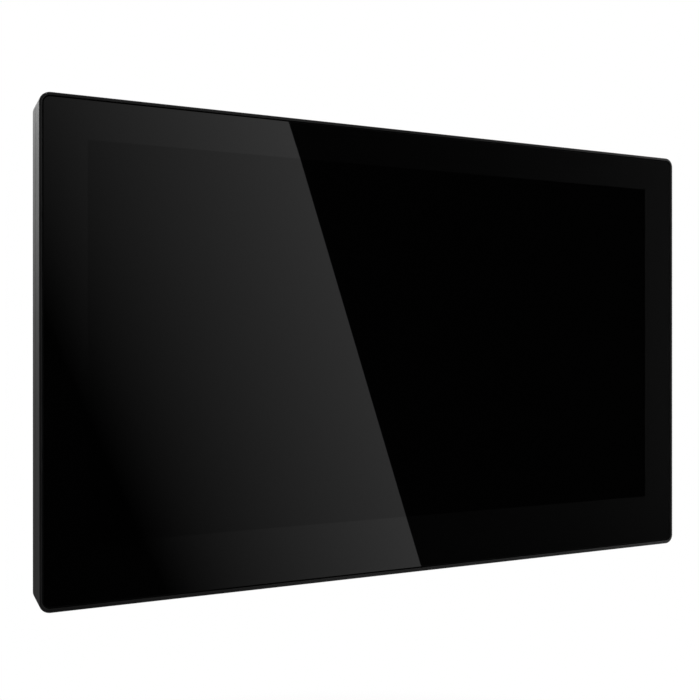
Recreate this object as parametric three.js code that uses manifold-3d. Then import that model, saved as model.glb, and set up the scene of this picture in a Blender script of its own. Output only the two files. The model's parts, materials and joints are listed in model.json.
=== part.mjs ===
// Wall-mounted touchscreen alarm keypad panel, as an assembly of separate pieces.
//
// Millimetres. +Z is up, +X is to the right seen from the front, and +Y points into the wall.
// The origin is the centre of the base's wall face, so the whole panel lies at negative y.
// The front unit hangs on hooks along the top edge and swings out from the base.

import * as THREE from 'three';
import { mergeVertices } from 'three/addons/utils/BufferGeometryUtils.js';
import Module from 'manifold-3d';

const wasm = await Module();
wasm.setup();

// ---------------------------------------------------------------- driving dimensions

// Housing
const panelWidth = 253;
const panelHeight = 160;
const cornerRadius = 3.5;
const wall = 2;
const baseDepth = 8;
const partingGap = 0.3;
const frameDepth = 7.7;
const baseFloor = 1.8;
const wallSideChamfer = 0.6;
const partingChamfer = 0.25;
const lipChamfer = 0.35;

// Glass, its lip and its ledge
const lipWidth = 1;
const glassGap = 0.3;
const glassSetback = 0.2;
const glassThickness = 1.8;
const glassChamfer = 0.15;
const adhesiveThickness = 0.3;
const adhesiveInset = 0.4;
const ledgeThickness = 1.5;

// Display window, as the border left round it on the glass
const sideBorder = 14.65;
const topBorder = 13.7;
const bottomBorder = 20.3;

// Display module, as its margins round the window
const moduleSideMargin = 5.65;
const moduleTopMargin = 5.7;
const moduleBottomMargin = 11.3;
const moduleClearance = 0.5;
const sheetSteel = 0.3;
const traySteel = 0.4;
const nestingGap = 0.1;
const traySide = 2.4;
const sensorMargin = 4.5;
const sensorBottomMargin = 8;
const cellMargin = 3.2;
const cellBottomMargin = 8.5;
const gasketInner = 1.5;
const gasketWidth = 2;

// Sheets of the display, front to back
const sensorThickness = 0.7;
const gasketThickness = 0.5;
const cellThickness = 1;
const diffuserThickness = 0.4;
const guideThickness = 1.6;
const reflectorThickness = 0.3;
const sheetPlay = 0.4;
const moduleRadius = 1;
const bezelRadius = 0.8;
const gasketRadius = 0.5;
const ledStripHeight = 1.8;
const ledCount = 12;
const ledWidth = 3.6;
const ledCircuit = 0.8;
const ledInset = 0.1;

// Air between flat faces that lie on each other, and round a piece in a hole
const seat = 0.05;
const clearance = 0.3;

// How far a cutting solid runs past the face it cuts, and an added one sinks into its wall
const past = 1;
const sunk = 0.5;

// Hooks of the front unit and the base's ridge that they reach behind
const hingeInset = 0.1;
const hookWidth = 12;
const hookSpacing = 80;
const hookThickness = 1.3;
const hookRootDepth = 3;
const hookStartDeg = -25;
const hookEndDeg = 50;
const ridgeThickness = 1.4;
const ridgeHeight = 1;
const hookToRidge = 0.7;
const ridgeOverhang = 3;

// Guide tabs of the base inside the frame's bottom wall
const tabXs = [-95, -40, 40, 95];
const tabWidth = 14;
const tabThickness = 1.5;
const tabReach = 2.5;

// Skirt of the base that closes the parting gap from inside
const skirtThickness = 0.8;
const skirtReach = 1;
const skirtRoot = 1.4;

// Openings in the housing
const cableWidth = 44;
const cableHeight = 30;
const cableRadius = 3;
const cableCollar = 1.2;
const cableCollarHeight = 1;
const cableAboveTerminals = 7;
const slotWidth = 3.8;
const slotLength = 9;
const cornerSlotInsetX = 26;
const cornerSlotInsetZ = 21;
const boxScrewSpacing = 60;
const ribThickness = 1.2;
const ribHeight = 2.6;
const ribInsetX = 34;
const ribInsetZ = 10;
const soundSlotCount = 9;
const soundSlotPitch = 2.8;
const soundSlotWidth = 1.2;
const soundSlotDepth = 1.8;
const prySlotWidth = 12;
const prySlotDepth = 1.1;
const prySlotX = 68;
const soundSlotSetback = 2.6;

// Display brackets and screws
const bracketWidth = 12;
const bracketThickness = 0.8;
const bracketGrip = 5;
const bossRadius = 2.3;
const bossOffset = 3.2;
const bracketZ = 45;
const bracketRadius = 1.2;
const bracketScrewLength = 3.6;
const pilotDepth = 3.1;

// Main board
const boardWidth = 150;
const boardHeight = 66;
const boardThickness = 1.6;
const boardAboveModuleEdge = 9;
const boardStandoff = 1;
const boardScrewInset = 4.5;
const standoffRadius = 2.6;
const boardRadius = 1.5;

// Screws: one small pan-head pattern
const screwShankRadius = 1;
const screwHeadRadius = 1.9;
const screwHeadHeight = 1.2;
const recessWidth = 0.6;
const recessLength = 2.4;
const recessDepth = 0.6;
const screwLeadIn = 0.4;

// Terminal block
const terminalCount = 8;
const terminalPitch = 3.81;
const terminalEnd = 1.1;
const terminalReach = 8.5;
const terminalFoot = 5;
const terminalTop = 3.1;
const terminalFront = 2.1;
const wireEntry = 2.2;
const wireEntryDepth = 6;
const terminalWellRadius = 1.35;
const terminalWellDepth = 2;
const terminalScrewHeight = 1.6;
const terminalSlotWidth = 0.5;
const terminalFootChamfer = 0.8;

// Tamper switch and memory card
const tamperX = 45;
const tamperAboveBoardEdge = 12;
const tamperCase = { width: 7, height: 7, tall: 2.1, chamfer: 0.3 };
const plungerRadius = 1.2;
const plungerShow = 0.5;
const postRadius = 2.5;
const cardLength = 15;
const cardWidth = 11;
const cardThickness = 0.8;
const cardShow = 1.3;
const cardSocketLength = 14.6;
const cardSocketWall = 0.3;
const cardAboveBoardEdge = 32;
const cardRadius = 0.6;
const cardCorner = 3;

// Service socket
const socketLength = 5.4;
const socketWidth = 7.6;
const socketHeight = 2.6;
const socketWall = 0.4;
const socketBelowBoardCentre = 14;
const socketTongue = { width: 4.4, thickness: 0.4, setback: 0.5 };

// Sounder
const sounderRadius = 7;
const sounderHeight = 2.6;
const soundHoleRadius = 1.5;
const soundHoleDepth = 1.4;
const sounderSpot = { x: -52, z: 10 };

// Moulded parts on the board: width, height, how tall, edge chamfer, and place from its centre
const shield = { size: 30, tall: 2.2, sheet: 0.3, radius: 0.8, x: -22, z: 2 };
const mouldings = {
  processor: { width: 15, height: 15, tall: 1.2, chamfer: 0.2, x: shield.x, z: shield.z },
  memory_chip: { width: 13, height: 10, tall: 1, chamfer: 0.15, x: 6, z: 6 },
  power_chip: { width: 6, height: 5, tall: 1.2, chamfer: 0.2, x: 26, z: 16 },
  power_inductor: { width: 10, height: 10, tall: 2.8, chamfer: 0.5, x: 40, z: 16 },
};
const capacitor = { width: 7.3, height: 4.3, tall: 2.6, chamfer: 0.3, x: 26, z: 6 };
const capacitorCount = 3;
const capacitorPitch = 7;

// Ribbon cables
const ribbonThickness = 0.2;
const ribbonBend = 1;
const ribbonDrop = 1.6;
const touchRibbonX = -45;
const touchRibbonWidth = 14;
const lcdRibbonX = 5;
const lcdRibbonWidth = 32;
const connectorHeight = 1.4;
const connectorDepth = 4.5;
const connectorCheek = 1.5;
const notchMargin = 1;

// ---------------------------------------------------------------- derived places

const frontY = -(baseDepth + partingGap + frameDepth);
const frameBackY = -(baseDepth + partingGap);
const baseFrontY = -baseDepth;
const floorY = -baseFloor;

const panel = { width: panelWidth, height: panelHeight, x: 0, z: 0 };
const displayWindow = grown(panel, -sideBorder, -topBorder, -bottomBorder);
const displayModule = grown(displayWindow, moduleSideMargin, moduleTopMargin, moduleBottomMargin);

const glassFrontY = frontY + glassSetback;
const glassBackY = glassFrontY + glassThickness;
const adhesive = { front: glassBackY + seat, back: glassBackY + seat + adhesiveThickness };
const ledge = { front: adhesive.back + seat, back: adhesive.back + seat + ledgeThickness };

const layers = stackedLayers(glassBackY + seat, {
  sensor: sensorThickness,
  gasket: gasketThickness,
  bezel: sheetSteel,
  cell: cellThickness,
  diffuser: diffuserThickness,
  guide: guideThickness,
  reflector: reflectorThickness,
  tray: traySteel,
});

const boardFrontY = layers.tray.back + boardStandoff + seat;
const boardBackY = boardFrontY + boardThickness;
const partY = boardBackY + seat;

const board = {
  width: boardWidth,
  height: boardHeight,
  x: 0,
  z: bottomOf(displayModule) + boardAboveModuleEdge + boardHeight / 2,
};
const boardScrewXs = [-1, 1].map((side) => side * (boardWidth / 2 - boardScrewInset));
const boardScrewZs = [-1, 1].map((side) => board.z + side * (boardHeight / 2 - boardScrewInset));

const bossX = displayModule.width / 2 + bossOffset;
const hinge = { y: -(baseDepth + partingGap / 2), z: panelHeight / 2 - hingeInset };
const hookInner = wall - hingeInset + ridgeHeight + hookToRidge;
const hookXs = [-hookSpacing, 0, hookSpacing];
const cableZ = topOf(board) + terminalReach + cableAboveTerminals + cableHeight / 2;
const tamperZ = bottomOf(board) + tamperAboveBoardEdge;
const plungerTipY = partY + tamperCase.tall + plungerShow;
const cardZ = bottomOf(board) + cardAboveBoardEdge;
const ribbonRunZ = bottomOf(displayModule) - ribbonDrop;

// ---------------------------------------------------------------- materials

function finish(color, roughness, metalness = 0) {
  return new THREE.MeshStandardMaterial({ color, roughness, metalness });
}

const materials = {
  housing: finish(0x17181a, 0.55),
  glass: finish(0x040405, 0.05),
  adhesive: finish(0x0c0c0d, 0.8),
  sensor: finish(0x222831, 0.1),
  foam: finish(0x1a1a1a, 0.95),
  steel: finish(0xa9adb0, 0.35, 1),
  cell: finish(0x0d0f12, 0.15),
  film: finish(0xe9ecee, 0.5),
  acrylic: finish(0xdfe7ea, 0.1),
  ledStrip: finish(0xe8e4d8, 0.5),
  ribbon: finish(0xb5702a, 0.45),
  circuitBoard: finish(0x14442c, 0.5),
  chip: finish(0x151515, 0.6),
  ferrite: finish(0x3a3b3d, 0.7),
  tantalum: finish(0xc89b3c, 0.5),
  connector: finish(0xe7e2d2, 0.6),
  terminal: finish(0x2f7d4f, 0.5),
  screw: finish(0x9fa3a6, 0.3, 1),
  plunger: finish(0xf0efe9, 0.5),
  card: finish(0x101113, 0.45),
};

// ---------------------------------------------------------------- shapes and solids

// A rectangle grown by the given margins: both sides, the top and the bottom.
function grown(rect, sides, top = sides, bottom = sides) {
  return {
    width: rect.width + 2 * sides,
    height: rect.height + top + bottom,
    x: rect.x,
    z: rect.z + (top - bottom) / 2,
  };
}

function topOf(rect) {
  return rect.z + rect.height / 2;
}

function bottomOf(rect) {
  return rect.z - rect.height / 2;
}

// Front and back y of layers that lie behind each other with a seat gap between them.
function stackedLayers(start, thicknesses) {
  const result = {};
  let front = start;
  for (const [name, thickness] of Object.entries(thicknesses)) {
    result[name] = { front, back: front + thickness };
    front += thickness + seat;
  }
  return result;
}

// A rounded rectangle as a shape in the X-Z plane.
const leastRadius = 0.1;

function outline(rect, radius) {
  const right = rect.x + rect.width / 2;
  const left = rect.x - rect.width / 2;
  const top = topOf(rect);
  const bottom = bottomOf(rect);
  const shape = new THREE.Shape();
  if (radius < leastRadius) {
    shape.moveTo(left, bottom).lineTo(right, bottom).lineTo(right, top).lineTo(left, top);
    return shape;
  }
  shape.absarc(right - radius, bottom + radius, radius, -Math.PI / 2, 0, false);
  shape.absarc(right - radius, top - radius, radius, 0, Math.PI / 2, false);
  shape.absarc(left + radius, top - radius, radius, Math.PI / 2, Math.PI, false);
  shape.absarc(left + radius, bottom + radius, radius, Math.PI, 1.5 * Math.PI, false);
  return shape;
}

// A closed manifold solid from a three.js geometry.
function solid(geometry) {
  const bare = geometry.clone();
  bare.deleteAttribute('normal');
  bare.deleteAttribute('uv');
  const merged = mergeVertices(bare, 1e-4);
  const mesh = new wasm.Mesh({
    numProp: 3,
    vertProperties: new Float32Array(merged.attributes.position.array),
    triVerts: new Uint32Array(merged.index.array),
  });
  return new wasm.Manifold(mesh);
}

function geometryOf(manifold) {
  const mesh = manifold.getMesh();
  const geometry = new THREE.BufferGeometry();
  geometry.setAttribute('position', new THREE.BufferAttribute(mesh.vertProperties, 3));
  geometry.setIndex(new THREE.BufferAttribute(mesh.triVerts, 1));
  const flat = geometry.toNonIndexed();
  flat.computeVertexNormals();
  return flat;
}

// An X-Z shape made thick in y, from the face nearer the room to the face nearer the wall.
const facingRoom = new THREE.Matrix4().makeBasis(
  new THREE.Vector3(1, 0, 0),
  new THREE.Vector3(0, 0, 1),
  new THREE.Vector3(0, -1, 0),
);

function slab(shape, front, back, curveSegments = 3) {
  const geometry = new THREE.ExtrudeGeometry(shape, {
    depth: back - front,
    bevelEnabled: false,
    curveSegments,
  });
  geometry.applyMatrix4(facingRoom);
  geometry.translate(0, back, 0);
  return solid(geometry);
}

// A slab with another outline cut right through it.
function ringSlab(outside, inside, front, back) {
  return slab(outside, front, back).subtract(slab(inside, front - past, back + past));
}

// The same as a slab, with a chamfer round both ends that stays inside the outline.
function chamferedSlab(shape, front, back, chamfer, curveSegments = 3) {
  const geometry = new THREE.ExtrudeGeometry(shape, {
    depth: back - front - 2 * chamfer,
    bevelEnabled: true,
    bevelThickness: chamfer,
    bevelSize: chamfer,
    bevelOffset: -chamfer,
    bevelSegments: 1,
    curveSegments,
  });
  geometry.applyMatrix4(facingRoom);
  geometry.translate(0, back - chamfer, 0);
  return solid(geometry);
}

// A block whose front and back edges have chamfers of their own.
function housingBlock(rect, radius, front, back, frontChamfer, backChamfer) {
  const overrun = 5;
  const shape = outline(rect, radius);
  const frontCut = chamferedSlab(shape, front, back + overrun, frontChamfer);
  const backCut = chamferedSlab(shape, front - overrun, back, backChamfer);
  return frontCut.intersect(backCut);
}

// A Y-Z shape made thick in x, centred on x.
const alongX = new THREE.Matrix4().makeBasis(
  new THREE.Vector3(0, 1, 0),
  new THREE.Vector3(0, 0, 1),
  new THREE.Vector3(1, 0, 0),
);

function bar(shape, x, width, curveSegments = 4) {
  const geometry = new THREE.ExtrudeGeometry(shape, {
    depth: width,
    bevelEnabled: false,
    curveSegments,
  });
  geometry.applyMatrix4(alongX);
  geometry.translate(x - width / 2, 0, 0);
  return solid(geometry);
}

// A box between two corners, given as ranges.
function box([x0, x1], [y0, y1], [z0, z1]) {
  const geometry = new THREE.BoxGeometry(x1 - x0, y1 - y0, z1 - z0);
  geometry.translate((x0 + x1) / 2, (y0 + y1) / 2, (z0 + z1) / 2);
  return solid(geometry);
}

// A round rod along y.
function rod(radius, front, back, x = 0, z = 0, segments = 16) {
  const geometry = new THREE.CylinderGeometry(radius, radius, back - front, segments);
  geometry.translate(x, (front + back) / 2, z);
  return solid(geometry);
}

// A closed loop round a curve in the Y-Z plane, at half the thickness on each side.
function stripShape(curve, thickness, samples) {
  const near = [];
  const far = [];
  for (let i = 0; i <= samples; i += 1) {
    const point = curve.getPoint(i / samples);
    const tangent = curve.getTangent(i / samples);
    const side = new THREE.Vector2(-tangent.y, tangent.x).multiplyScalar(thickness / 2);
    near.push(point.clone().add(side));
    far.unshift(point.clone().sub(side));
  }
  return new THREE.Shape([...near, ...far]);
}

function polygon(points) {
  return new THREE.Shape(points.map(([u, v]) => new THREE.Vector2(u, v)));
}

function around(centre, halfWidth) {
  return [centre - halfWidth, centre + halfWidth];
}

function joined(solids) {
  return solids.reduce((all, next) => all.add(next));
}

// ---------------------------------------------------------------- assembly groups

const assembly = new THREE.Group();
const base = new THREE.Group();
const frontUnit = new THREE.Group();
assembly.add(base, frontUnit);

function place(group, name, manifold, material, position = [0, 0, 0]) {
  const mesh = new THREE.Mesh(geometryOf(manifold), material);
  mesh.name = name;
  mesh.position.set(...position);
  group.add(mesh);
  return mesh;
}

// ---------------------------------------------------------------- rear base

// A slot with round ends, cut right through the floor.
function floorSlot(x, z, lengthX, lengthZ) {
  const rect = { width: lengthX, height: lengthZ, x, z };
  return slab(outline(rect, slotWidth / 2), floorY - past, 1);
}

function screwSlots() {
  const x = panelWidth / 2 - cornerSlotInsetX;
  const z = panelHeight / 2 - cornerSlotInsetZ;
  const slots = [];
  for (const side of [-1, 1]) {
    slots.push(floorSlot(side * x, z, slotLength, slotWidth));
    slots.push(floorSlot(side * x, -z, slotWidth, slotLength));
    slots.push(floorSlot((side * boxScrewSpacing) / 2, cableZ, slotWidth, slotLength));
  }
  return slots;
}

function cableHole(extra, front, back) {
  const rect = { width: cableWidth, height: cableHeight, x: 0, z: cableZ };
  return slab(outline(grown(rect, extra), cableRadius + extra), front, back);
}

function floorRibs() {
  const x = panelWidth / 2 - ribInsetX;
  const top = panelHeight / 2 - ribInsetZ;
  const ribY = [floorY - ribHeight, floorY + sunk];
  const ribs = [];
  for (const side of [-1, 1]) {
    ribs.push(box(around(side * x, ribThickness / 2), ribY, [-top, top]));
  }
  ribs.push(box([-x, x], ribY, around(top, ribThickness / 2)));
  ribs.push(box([-x, x], ribY, around(-top, ribThickness / 2)));
  return ribs;
}

// The ridge hangs from the base's top wall; each hook reaches under and behind it.
function hookRidge(x) {
  const front = baseFrontY;
  const z = panelHeight / 2 - wall - ridgeHeight;
  const width = hookWidth + 2 * ridgeOverhang;
  return box(around(x, width / 2), [front, front + ridgeThickness], [z, z + ridgeHeight + sunk]);
}

// A thin skirt that stands just inside the frame's walls, left out where the hooks pass.
function partingSkirt() {
  const ring = (outset, inset, front, back) => {
    const outside = outline(grown(panel, -outset), cornerRadius - outset);
    const inside = outline(grown(panel, -inset), cornerRadius - inset);
    return ringSlab(outside, inside, front, back);
  };
  const outer = wall + clearance;
  const inner = outer + skirtThickness;
  const rootFront = baseFrontY + clearance;
  const upright = ring(outer, inner, frameBackY - skirtReach, rootFront + skirtRoot);
  const root = ring(wall - sunk / 2, inner, rootFront, rootFront + skirtRoot);
  const gapY = [frameBackY - skirtReach - past, rootFront + skirtRoot + past];
  const gapZ = [0, panelHeight / 2 - wall];
  const gaps = hookXs.map((x) => box(around(x, hookWidth / 2 + 2 * clearance), gapY, gapZ));
  return upright.add(root).subtract(joined(gaps));
}

// A tab that stands on the bottom wall and slides inside the frame's bottom wall.
function guideTab(x) {
  const inner = -panelHeight / 2 + wall;
  const low = inner + clearance;
  const high = low + tabThickness;
  const tip = frameBackY - tabReach;
  const lead = tabThickness / 2;
  const shape = polygon([
    [tip, low + lead / 4],
    [tip, high - lead],
    [tip + lead, high],
    [floorY + sunk, high],
    [floorY + sunk, inner - sunk],
    [baseFrontY + clearance, inner - sunk],
    [baseFrontY + clearance, low],
  ]);
  return bar(shape, x, tabWidth);
}

function rearBase() {
  const body = housingBlock(panel, cornerRadius, baseFrontY, 0, partingChamfer, wallSideChamfer);
  const inside = outline(grown(panel, -wall), cornerRadius - wall);
  const shell = body.subtract(slab(inside, baseFrontY - past, floorY));
  const additions = [
    cableHole(cableCollar, floorY - cableCollarHeight, floorY + sunk),
    rod(postRadius, plungerTipY + seat, floorY + sunk, tamperX, tamperZ),
    ...floorRibs(),
    partingSkirt(),
    ...hookXs.map(hookRidge),
    ...tabXs.map(guideTab),
  ];
  const cuts = [cableHole(0, floorY - cableCollarHeight - past, 1), ...screwSlots()];
  return joined([shell, ...additions]).subtract(joined(cuts));
}

place(base, 'rear_base', rearBase(), materials.housing);

// ---------------------------------------------------------------- front frame

// An arc round the hinge axis, on a root under the frame's top wall.
function hook(x) {
  const hookOuter = hookInner + hookThickness;
  const start = THREE.MathUtils.degToRad(hookStartDeg - 90);
  const end = THREE.MathUtils.degToRad(hookEndDeg - 90);
  const arc = new THREE.Shape();
  arc.absarc(0, 0, hookOuter, start, end, false);
  arc.absarc(0, 0, hookInner, end, start, true);
  const rootBack = frameBackY - hinge.y - clearance;
  const root = polygon([
    [rootBack - hookRootDepth, -hookOuter],
    [rootBack, -hookOuter],
    [rootBack, -wall / 2],
    [rootBack - hookRootDepth, -wall / 2],
  ]);
  return bar(arc, x, hookWidth).add(bar(root, x, hookWidth)).translate([0, hinge.y, hinge.z]);
}

// Round bosses beside the display, which the bracket screws go into.
function bracketSpots() {
  const spots = [];
  for (const side of [-1, 1]) {
    for (const level of [-1, 1]) {
      spots.push({ side, x: side * bossX, z: displayModule.z + level * bracketZ });
    }
  }
  return spots;
}

function ribbonNotch(x, width, front, back) {
  const z = bottomOf(displayModule);
  const depth = ribbonDrop + ribbonThickness + 2 * clearance;
  return box(around(x, width / 2 + notchMargin), [front, back], [z - depth, z + past]);
}

function ribbonNotches(front, back) {
  return [
    ribbonNotch(touchRibbonX, touchRibbonWidth, front, back),
    ribbonNotch(lcdRibbonX, lcdRibbonWidth, front, back),
  ];
}

function bottomWallSlots() {
  const wallZ = [-panelHeight / 2 - past, -panelHeight / 2 + wall + sunk / 2];
  const soundY = around(frameBackY - soundSlotSetback, soundSlotDepth / 2);
  const cuts = [];
  for (let i = 0; i < soundSlotCount; i += 1) {
    const x = (i - (soundSlotCount - 1) / 2) * soundSlotPitch;
    cuts.push(box(around(x, soundSlotWidth / 2), soundY, wallZ));
  }
  for (const side of [-1, 1]) {
    const pryY = [frameBackY - prySlotDepth, frameBackY + past];
    cuts.push(box(around(side * prySlotX, prySlotWidth / 2), pryY, wallZ));
  }
  return cuts;
}

function frontFrame() {
  const body = housingBlock(panel, cornerRadius, frontY, frameBackY, lipChamfer, partingChamfer);
  const lipInside = outline(grown(panel, -lipWidth), cornerRadius - lipWidth);
  const pocket = slab(lipInside, frontY - past, ledge.front);
  const hollow = slab(outline(grown(panel, -wall), cornerRadius - wall), ledge.back, frameBackY + past);
  const through = slab(outline(grown(displayModule, moduleClearance), moduleRadius), frontY, frameBackY);
  const spots = bracketSpots();
  const bosses = spots.map((s) => rod(bossRadius, ledge.back - sunk, layers.tray.back, s.x, s.z));
  const pilotRadius = screwShankRadius + clearance;
  const pilotFront = layers.tray.back - pilotDepth;
  const pilots = spots.map((s) => rod(pilotRadius, pilotFront, layers.tray.back + past, s.x, s.z));
  const shell = body.subtract(joined([pocket, hollow, through]));
  const cuts = [...pilots, ...ribbonNotches(ledge.front - past, ledge.back + past), ...bottomWallSlots()];
  return joined([shell, ...bosses, ...hookXs.map(hook)]).subtract(joined(cuts));
}

place(frontUnit, 'front_frame', frontFrame(), materials.housing);

// ---------------------------------------------------------------- glass and touch sensor

function coverGlass() {
  const inset = lipWidth + glassGap;
  const shape = outline(grown(panel, -inset), cornerRadius - inset);
  return chamferedSlab(shape, glassFrontY, glassBackY, glassChamfer);
}

function glassAdhesive() {
  const inset = lipWidth + glassGap + adhesiveInset;
  const outside = outline(grown(panel, -inset), cornerRadius - inset);
  const inside = outline(grown(displayModule, moduleClearance), moduleRadius);
  return ringSlab(outside, inside, adhesive.front, adhesive.back)
    .subtract(joined(ribbonNotches(adhesive.front - past, adhesive.back + past)));
}

function dustGasket() {
  const outside = outline(grown(displayWindow, gasketInner + gasketWidth), moduleRadius);
  const inside = outline(grown(displayWindow, gasketInner), gasketRadius);
  return ringSlab(outside, inside, layers.gasket.front, layers.gasket.back);
}

const sensorRect = grown(displayWindow, sensorMargin, sensorMargin, sensorBottomMargin);
const sensorSlab = slab(outline(sensorRect, moduleRadius), layers.sensor.front, layers.sensor.back);
place(frontUnit, 'cover_glass', coverGlass(), materials.glass);
place(frontUnit, 'glass_adhesive', glassAdhesive(), materials.adhesive);
place(frontUnit, 'touch_sensor', sensorSlab, materials.sensor);
place(frontUnit, 'dust_gasket', dustGasket(), materials.foam);

// ---------------------------------------------------------------- display module

const cellRect = grown(displayWindow, cellMargin, cellMargin, cellBottomMargin);
const trayRect = grown(displayModule, -(sheetSteel + nestingGap));
const trayInside = grown(trayRect, -traySteel);
const sheetRect = grown(trayInside, -sheetPlay);
const guideRect = grown(sheetRect, 0, 0, -(ledStripHeight + sheetPlay));

// A steel frame whose skirt wraps the tray's sides, with a gap where the flex leaves.
function lcdBezel() {
  const skirtBack = layers.guide.back;
  const blank = slab(outline(displayModule, bezelRadius), layers.bezel.front, skirtBack);
  const inside = outline(grown(displayModule, -sheetSteel), bezelRadius - sheetSteel);
  const opening = outline(grown(displayWindow, nestingGap), 0);
  return blank
    .subtract(slab(inside, layers.bezel.back, skirtBack + past))
    .subtract(slab(opening, layers.bezel.front - past, layers.bezel.back + past))
    .subtract(ribbonNotch(lcdRibbonX, lcdRibbonWidth, layers.bezel.back, skirtBack + past));
}

// A steel tray behind the sheets, with raised bosses for the board.
function lcdTray() {
  const back = layers.tray.back;
  const rim = layers.tray.front - traySide;
  const blank = slab(outline(trayRect, bezelRadius - sheetSteel), rim, back);
  const inside = slab(outline(trayInside, 0), rim - past, layers.tray.front);
  const bosses = [];
  const holes = [];
  for (const x of boardScrewXs) {
    for (const z of boardScrewZs) {
      bosses.push(rod(standoffRadius, back - traySteel / 2, back + boardStandoff, x, z));
      holes.push(rod(screwShankRadius + clearance, back - past, back + boardStandoff + past, x, z));
    }
  }
  const notch = ribbonNotch(lcdRibbonX, lcdRibbonWidth, rim - past, layers.diffuser.back);
  return joined([blank.subtract(inside), ...bosses]).subtract(joined([...holes, notch]));
}

// A strip of light-emitting chips along the light guide's lower edge.
function ledStrip() {
  const low = bottomOf(sheetRect);
  const depth = [layers.guide.front + ledInset, layers.guide.back - ledInset];
  const half = guideRect.width / 2 - sheetPlay;
  const strip = box([-half, half], depth, [low, low + ledCircuit]);
  const pitch = (2 * half) / ledCount;
  const chips = [];
  for (let i = 0; i < ledCount; i += 1) {
    const x = -half + (i + 0.5) * pitch;
    chips.push(box(around(x, ledWidth / 2), depth, [low + ledCircuit / 2, low + ledStripHeight]));
  }
  return joined([strip, ...chips]);
}

function sheet(rect, layer) {
  return slab(outline(rect, 0), layer.front, layer.back);
}

place(frontUnit, 'lcd_bezel', lcdBezel(), materials.steel);
place(frontUnit, 'lcd_cell', sheet(cellRect, layers.cell), materials.cell);
place(frontUnit, 'diffuser_sheet', sheet(sheetRect, layers.diffuser), materials.film);
place(frontUnit, 'light_guide', sheet(guideRect, layers.guide), materials.acrylic);
place(frontUnit, 'led_strip', ledStrip(), materials.ledStrip);
place(frontUnit, 'reflector_sheet', sheet(sheetRect, layers.reflector), materials.film);
place(frontUnit, 'lcd_tray', lcdTray(), materials.steel);

// ---------------------------------------------------------------- screws

// A slotted pan-head screw whose head lies on y = 0 and whose shank points to -y.
function panScrew(shankLength) {
  const profile = [
    [0, -shankLength],
    [screwShankRadius * 0.7, -shankLength],
    [screwShankRadius, -shankLength + screwLeadIn],
    [screwShankRadius, 0],
    [screwHeadRadius, 0],
    [screwHeadRadius, screwHeadHeight * 0.55],
    [screwHeadRadius * 0.8, screwHeadHeight * 0.9],
    [screwHeadRadius * 0.5, screwHeadHeight],
    [0, screwHeadHeight],
  ].map(([r, y]) => new THREE.Vector2(r, y));
  const body = solid(new THREE.LatheGeometry(profile, 14));
  const slotY = [screwHeadHeight - recessDepth, screwHeadHeight + past];
  const along = box(around(0, recessLength / 2), slotY, around(0, recessWidth / 2));
  const across = box(around(0, recessWidth / 2), slotY, around(0, recessLength / 2));
  return body.subtract(along.add(across));
}

// ---------------------------------------------------------------- display brackets

// A flat steel clip from the boss, over the back of the tray, on the side given by its sign.
function displayBracket(side) {
  const outer = side * (bossOffset + bossRadius - nestingGap);
  const inner = -side * bracketGrip;
  const span = { width: Math.abs(outer - inner), height: bracketWidth, x: (outer + inner) / 2, z: 0 };
  const hole = rod(screwShankRadius + clearance, -1, bracketThickness + past, side * bossOffset, 0);
  return slab(outline(span, bracketRadius), 0, bracketThickness).subtract(hole);
}

const bracketY = layers.tray.back + seat;
const bracketScrewY = bracketY + bracketThickness + seat;
bracketSpots().forEach((spot, i) => {
  const plateX = (spot.side * displayModule.width) / 2;
  const bracket = displayBracket(spot.side);
  place(frontUnit, `display_bracket_${i + 1}`, bracket, materials.steel, [plateX, bracketY, spot.z]);
  const screw = panScrew(bracketScrewLength);
  place(frontUnit, `bracket_screw_${i + 1}`, screw, materials.screw, [spot.x, bracketScrewY, spot.z]);
});

// ---------------------------------------------------------------- main board and its parts

function mainBoard() {
  const holes = [];
  for (const x of boardScrewXs) {
    for (const z of boardScrewZs) {
      holes.push(rod(screwShankRadius + clearance, boardFrontY - past, boardBackY + past, x, z));
    }
  }
  return slab(outline(board, boardRadius), boardFrontY, boardBackY).subtract(joined(holes));
}

place(frontUnit, 'main_board', mainBoard(), materials.circuitBoard);

let boardScrewNumber = 0;
for (const x of boardScrewXs) {
  for (const z of boardScrewZs) {
    boardScrewNumber += 1;
    const name = `board_screw_${boardScrewNumber}`;
    place(frontUnit, name, panScrew(boardThickness + boardStandoff), materials.screw, [x, partY, z]);
  }
}

// A moulded part that stands on the board: full size at its foot, chamfered at its top.
function moulded({ width, height, tall, chamfer }) {
  const rect = { width, height, x: 0, z: 0 };
  const overrun = chamfer + past;
  const raw = chamferedSlab(outline(rect, 0), -overrun, tall, chamfer);
  return raw.subtract(box([-width, width], [-overrun - past, 0], [-height, height]));
}

// A thin steel can, open towards the board.
function shieldCan({ size, tall, sheet: steel, radius }) {
  const rect = { width: size, height: size, x: 0, z: 0 };
  const inside = slab(outline(grown(rect, -steel), radius - steel), -past, tall - steel);
  return slab(outline(rect, radius), 0, tall).subtract(inside);
}

function onBoard(name, manifold, material, x, z) {
  place(frontUnit, name, manifold, material, [x, partY, board.z + z]);
}

onBoard('processor_shield', shieldCan(shield), materials.steel, shield.x, shield.z);
for (const [name, block] of Object.entries(mouldings)) {
  const material = name === 'power_inductor' ? materials.ferrite : materials.chip;
  onBoard(name, moulded(block), material, block.x, block.z);
}
for (let i = 0; i < capacitorCount; i += 1) {
  const z = capacitor.z - i * capacitorPitch;
  onBoard(`capacitor_${i + 1}`, moulded(capacitor), materials.tantalum, capacitor.x, z);
}

// A flat round sounder with its sound hole in the middle.
function sounder() {
  const hole = rod(soundHoleRadius, sounderHeight - soundHoleDepth, sounderHeight + past);
  return rod(sounderRadius, 0, sounderHeight, 0, 0, 32).subtract(hole);
}

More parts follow.
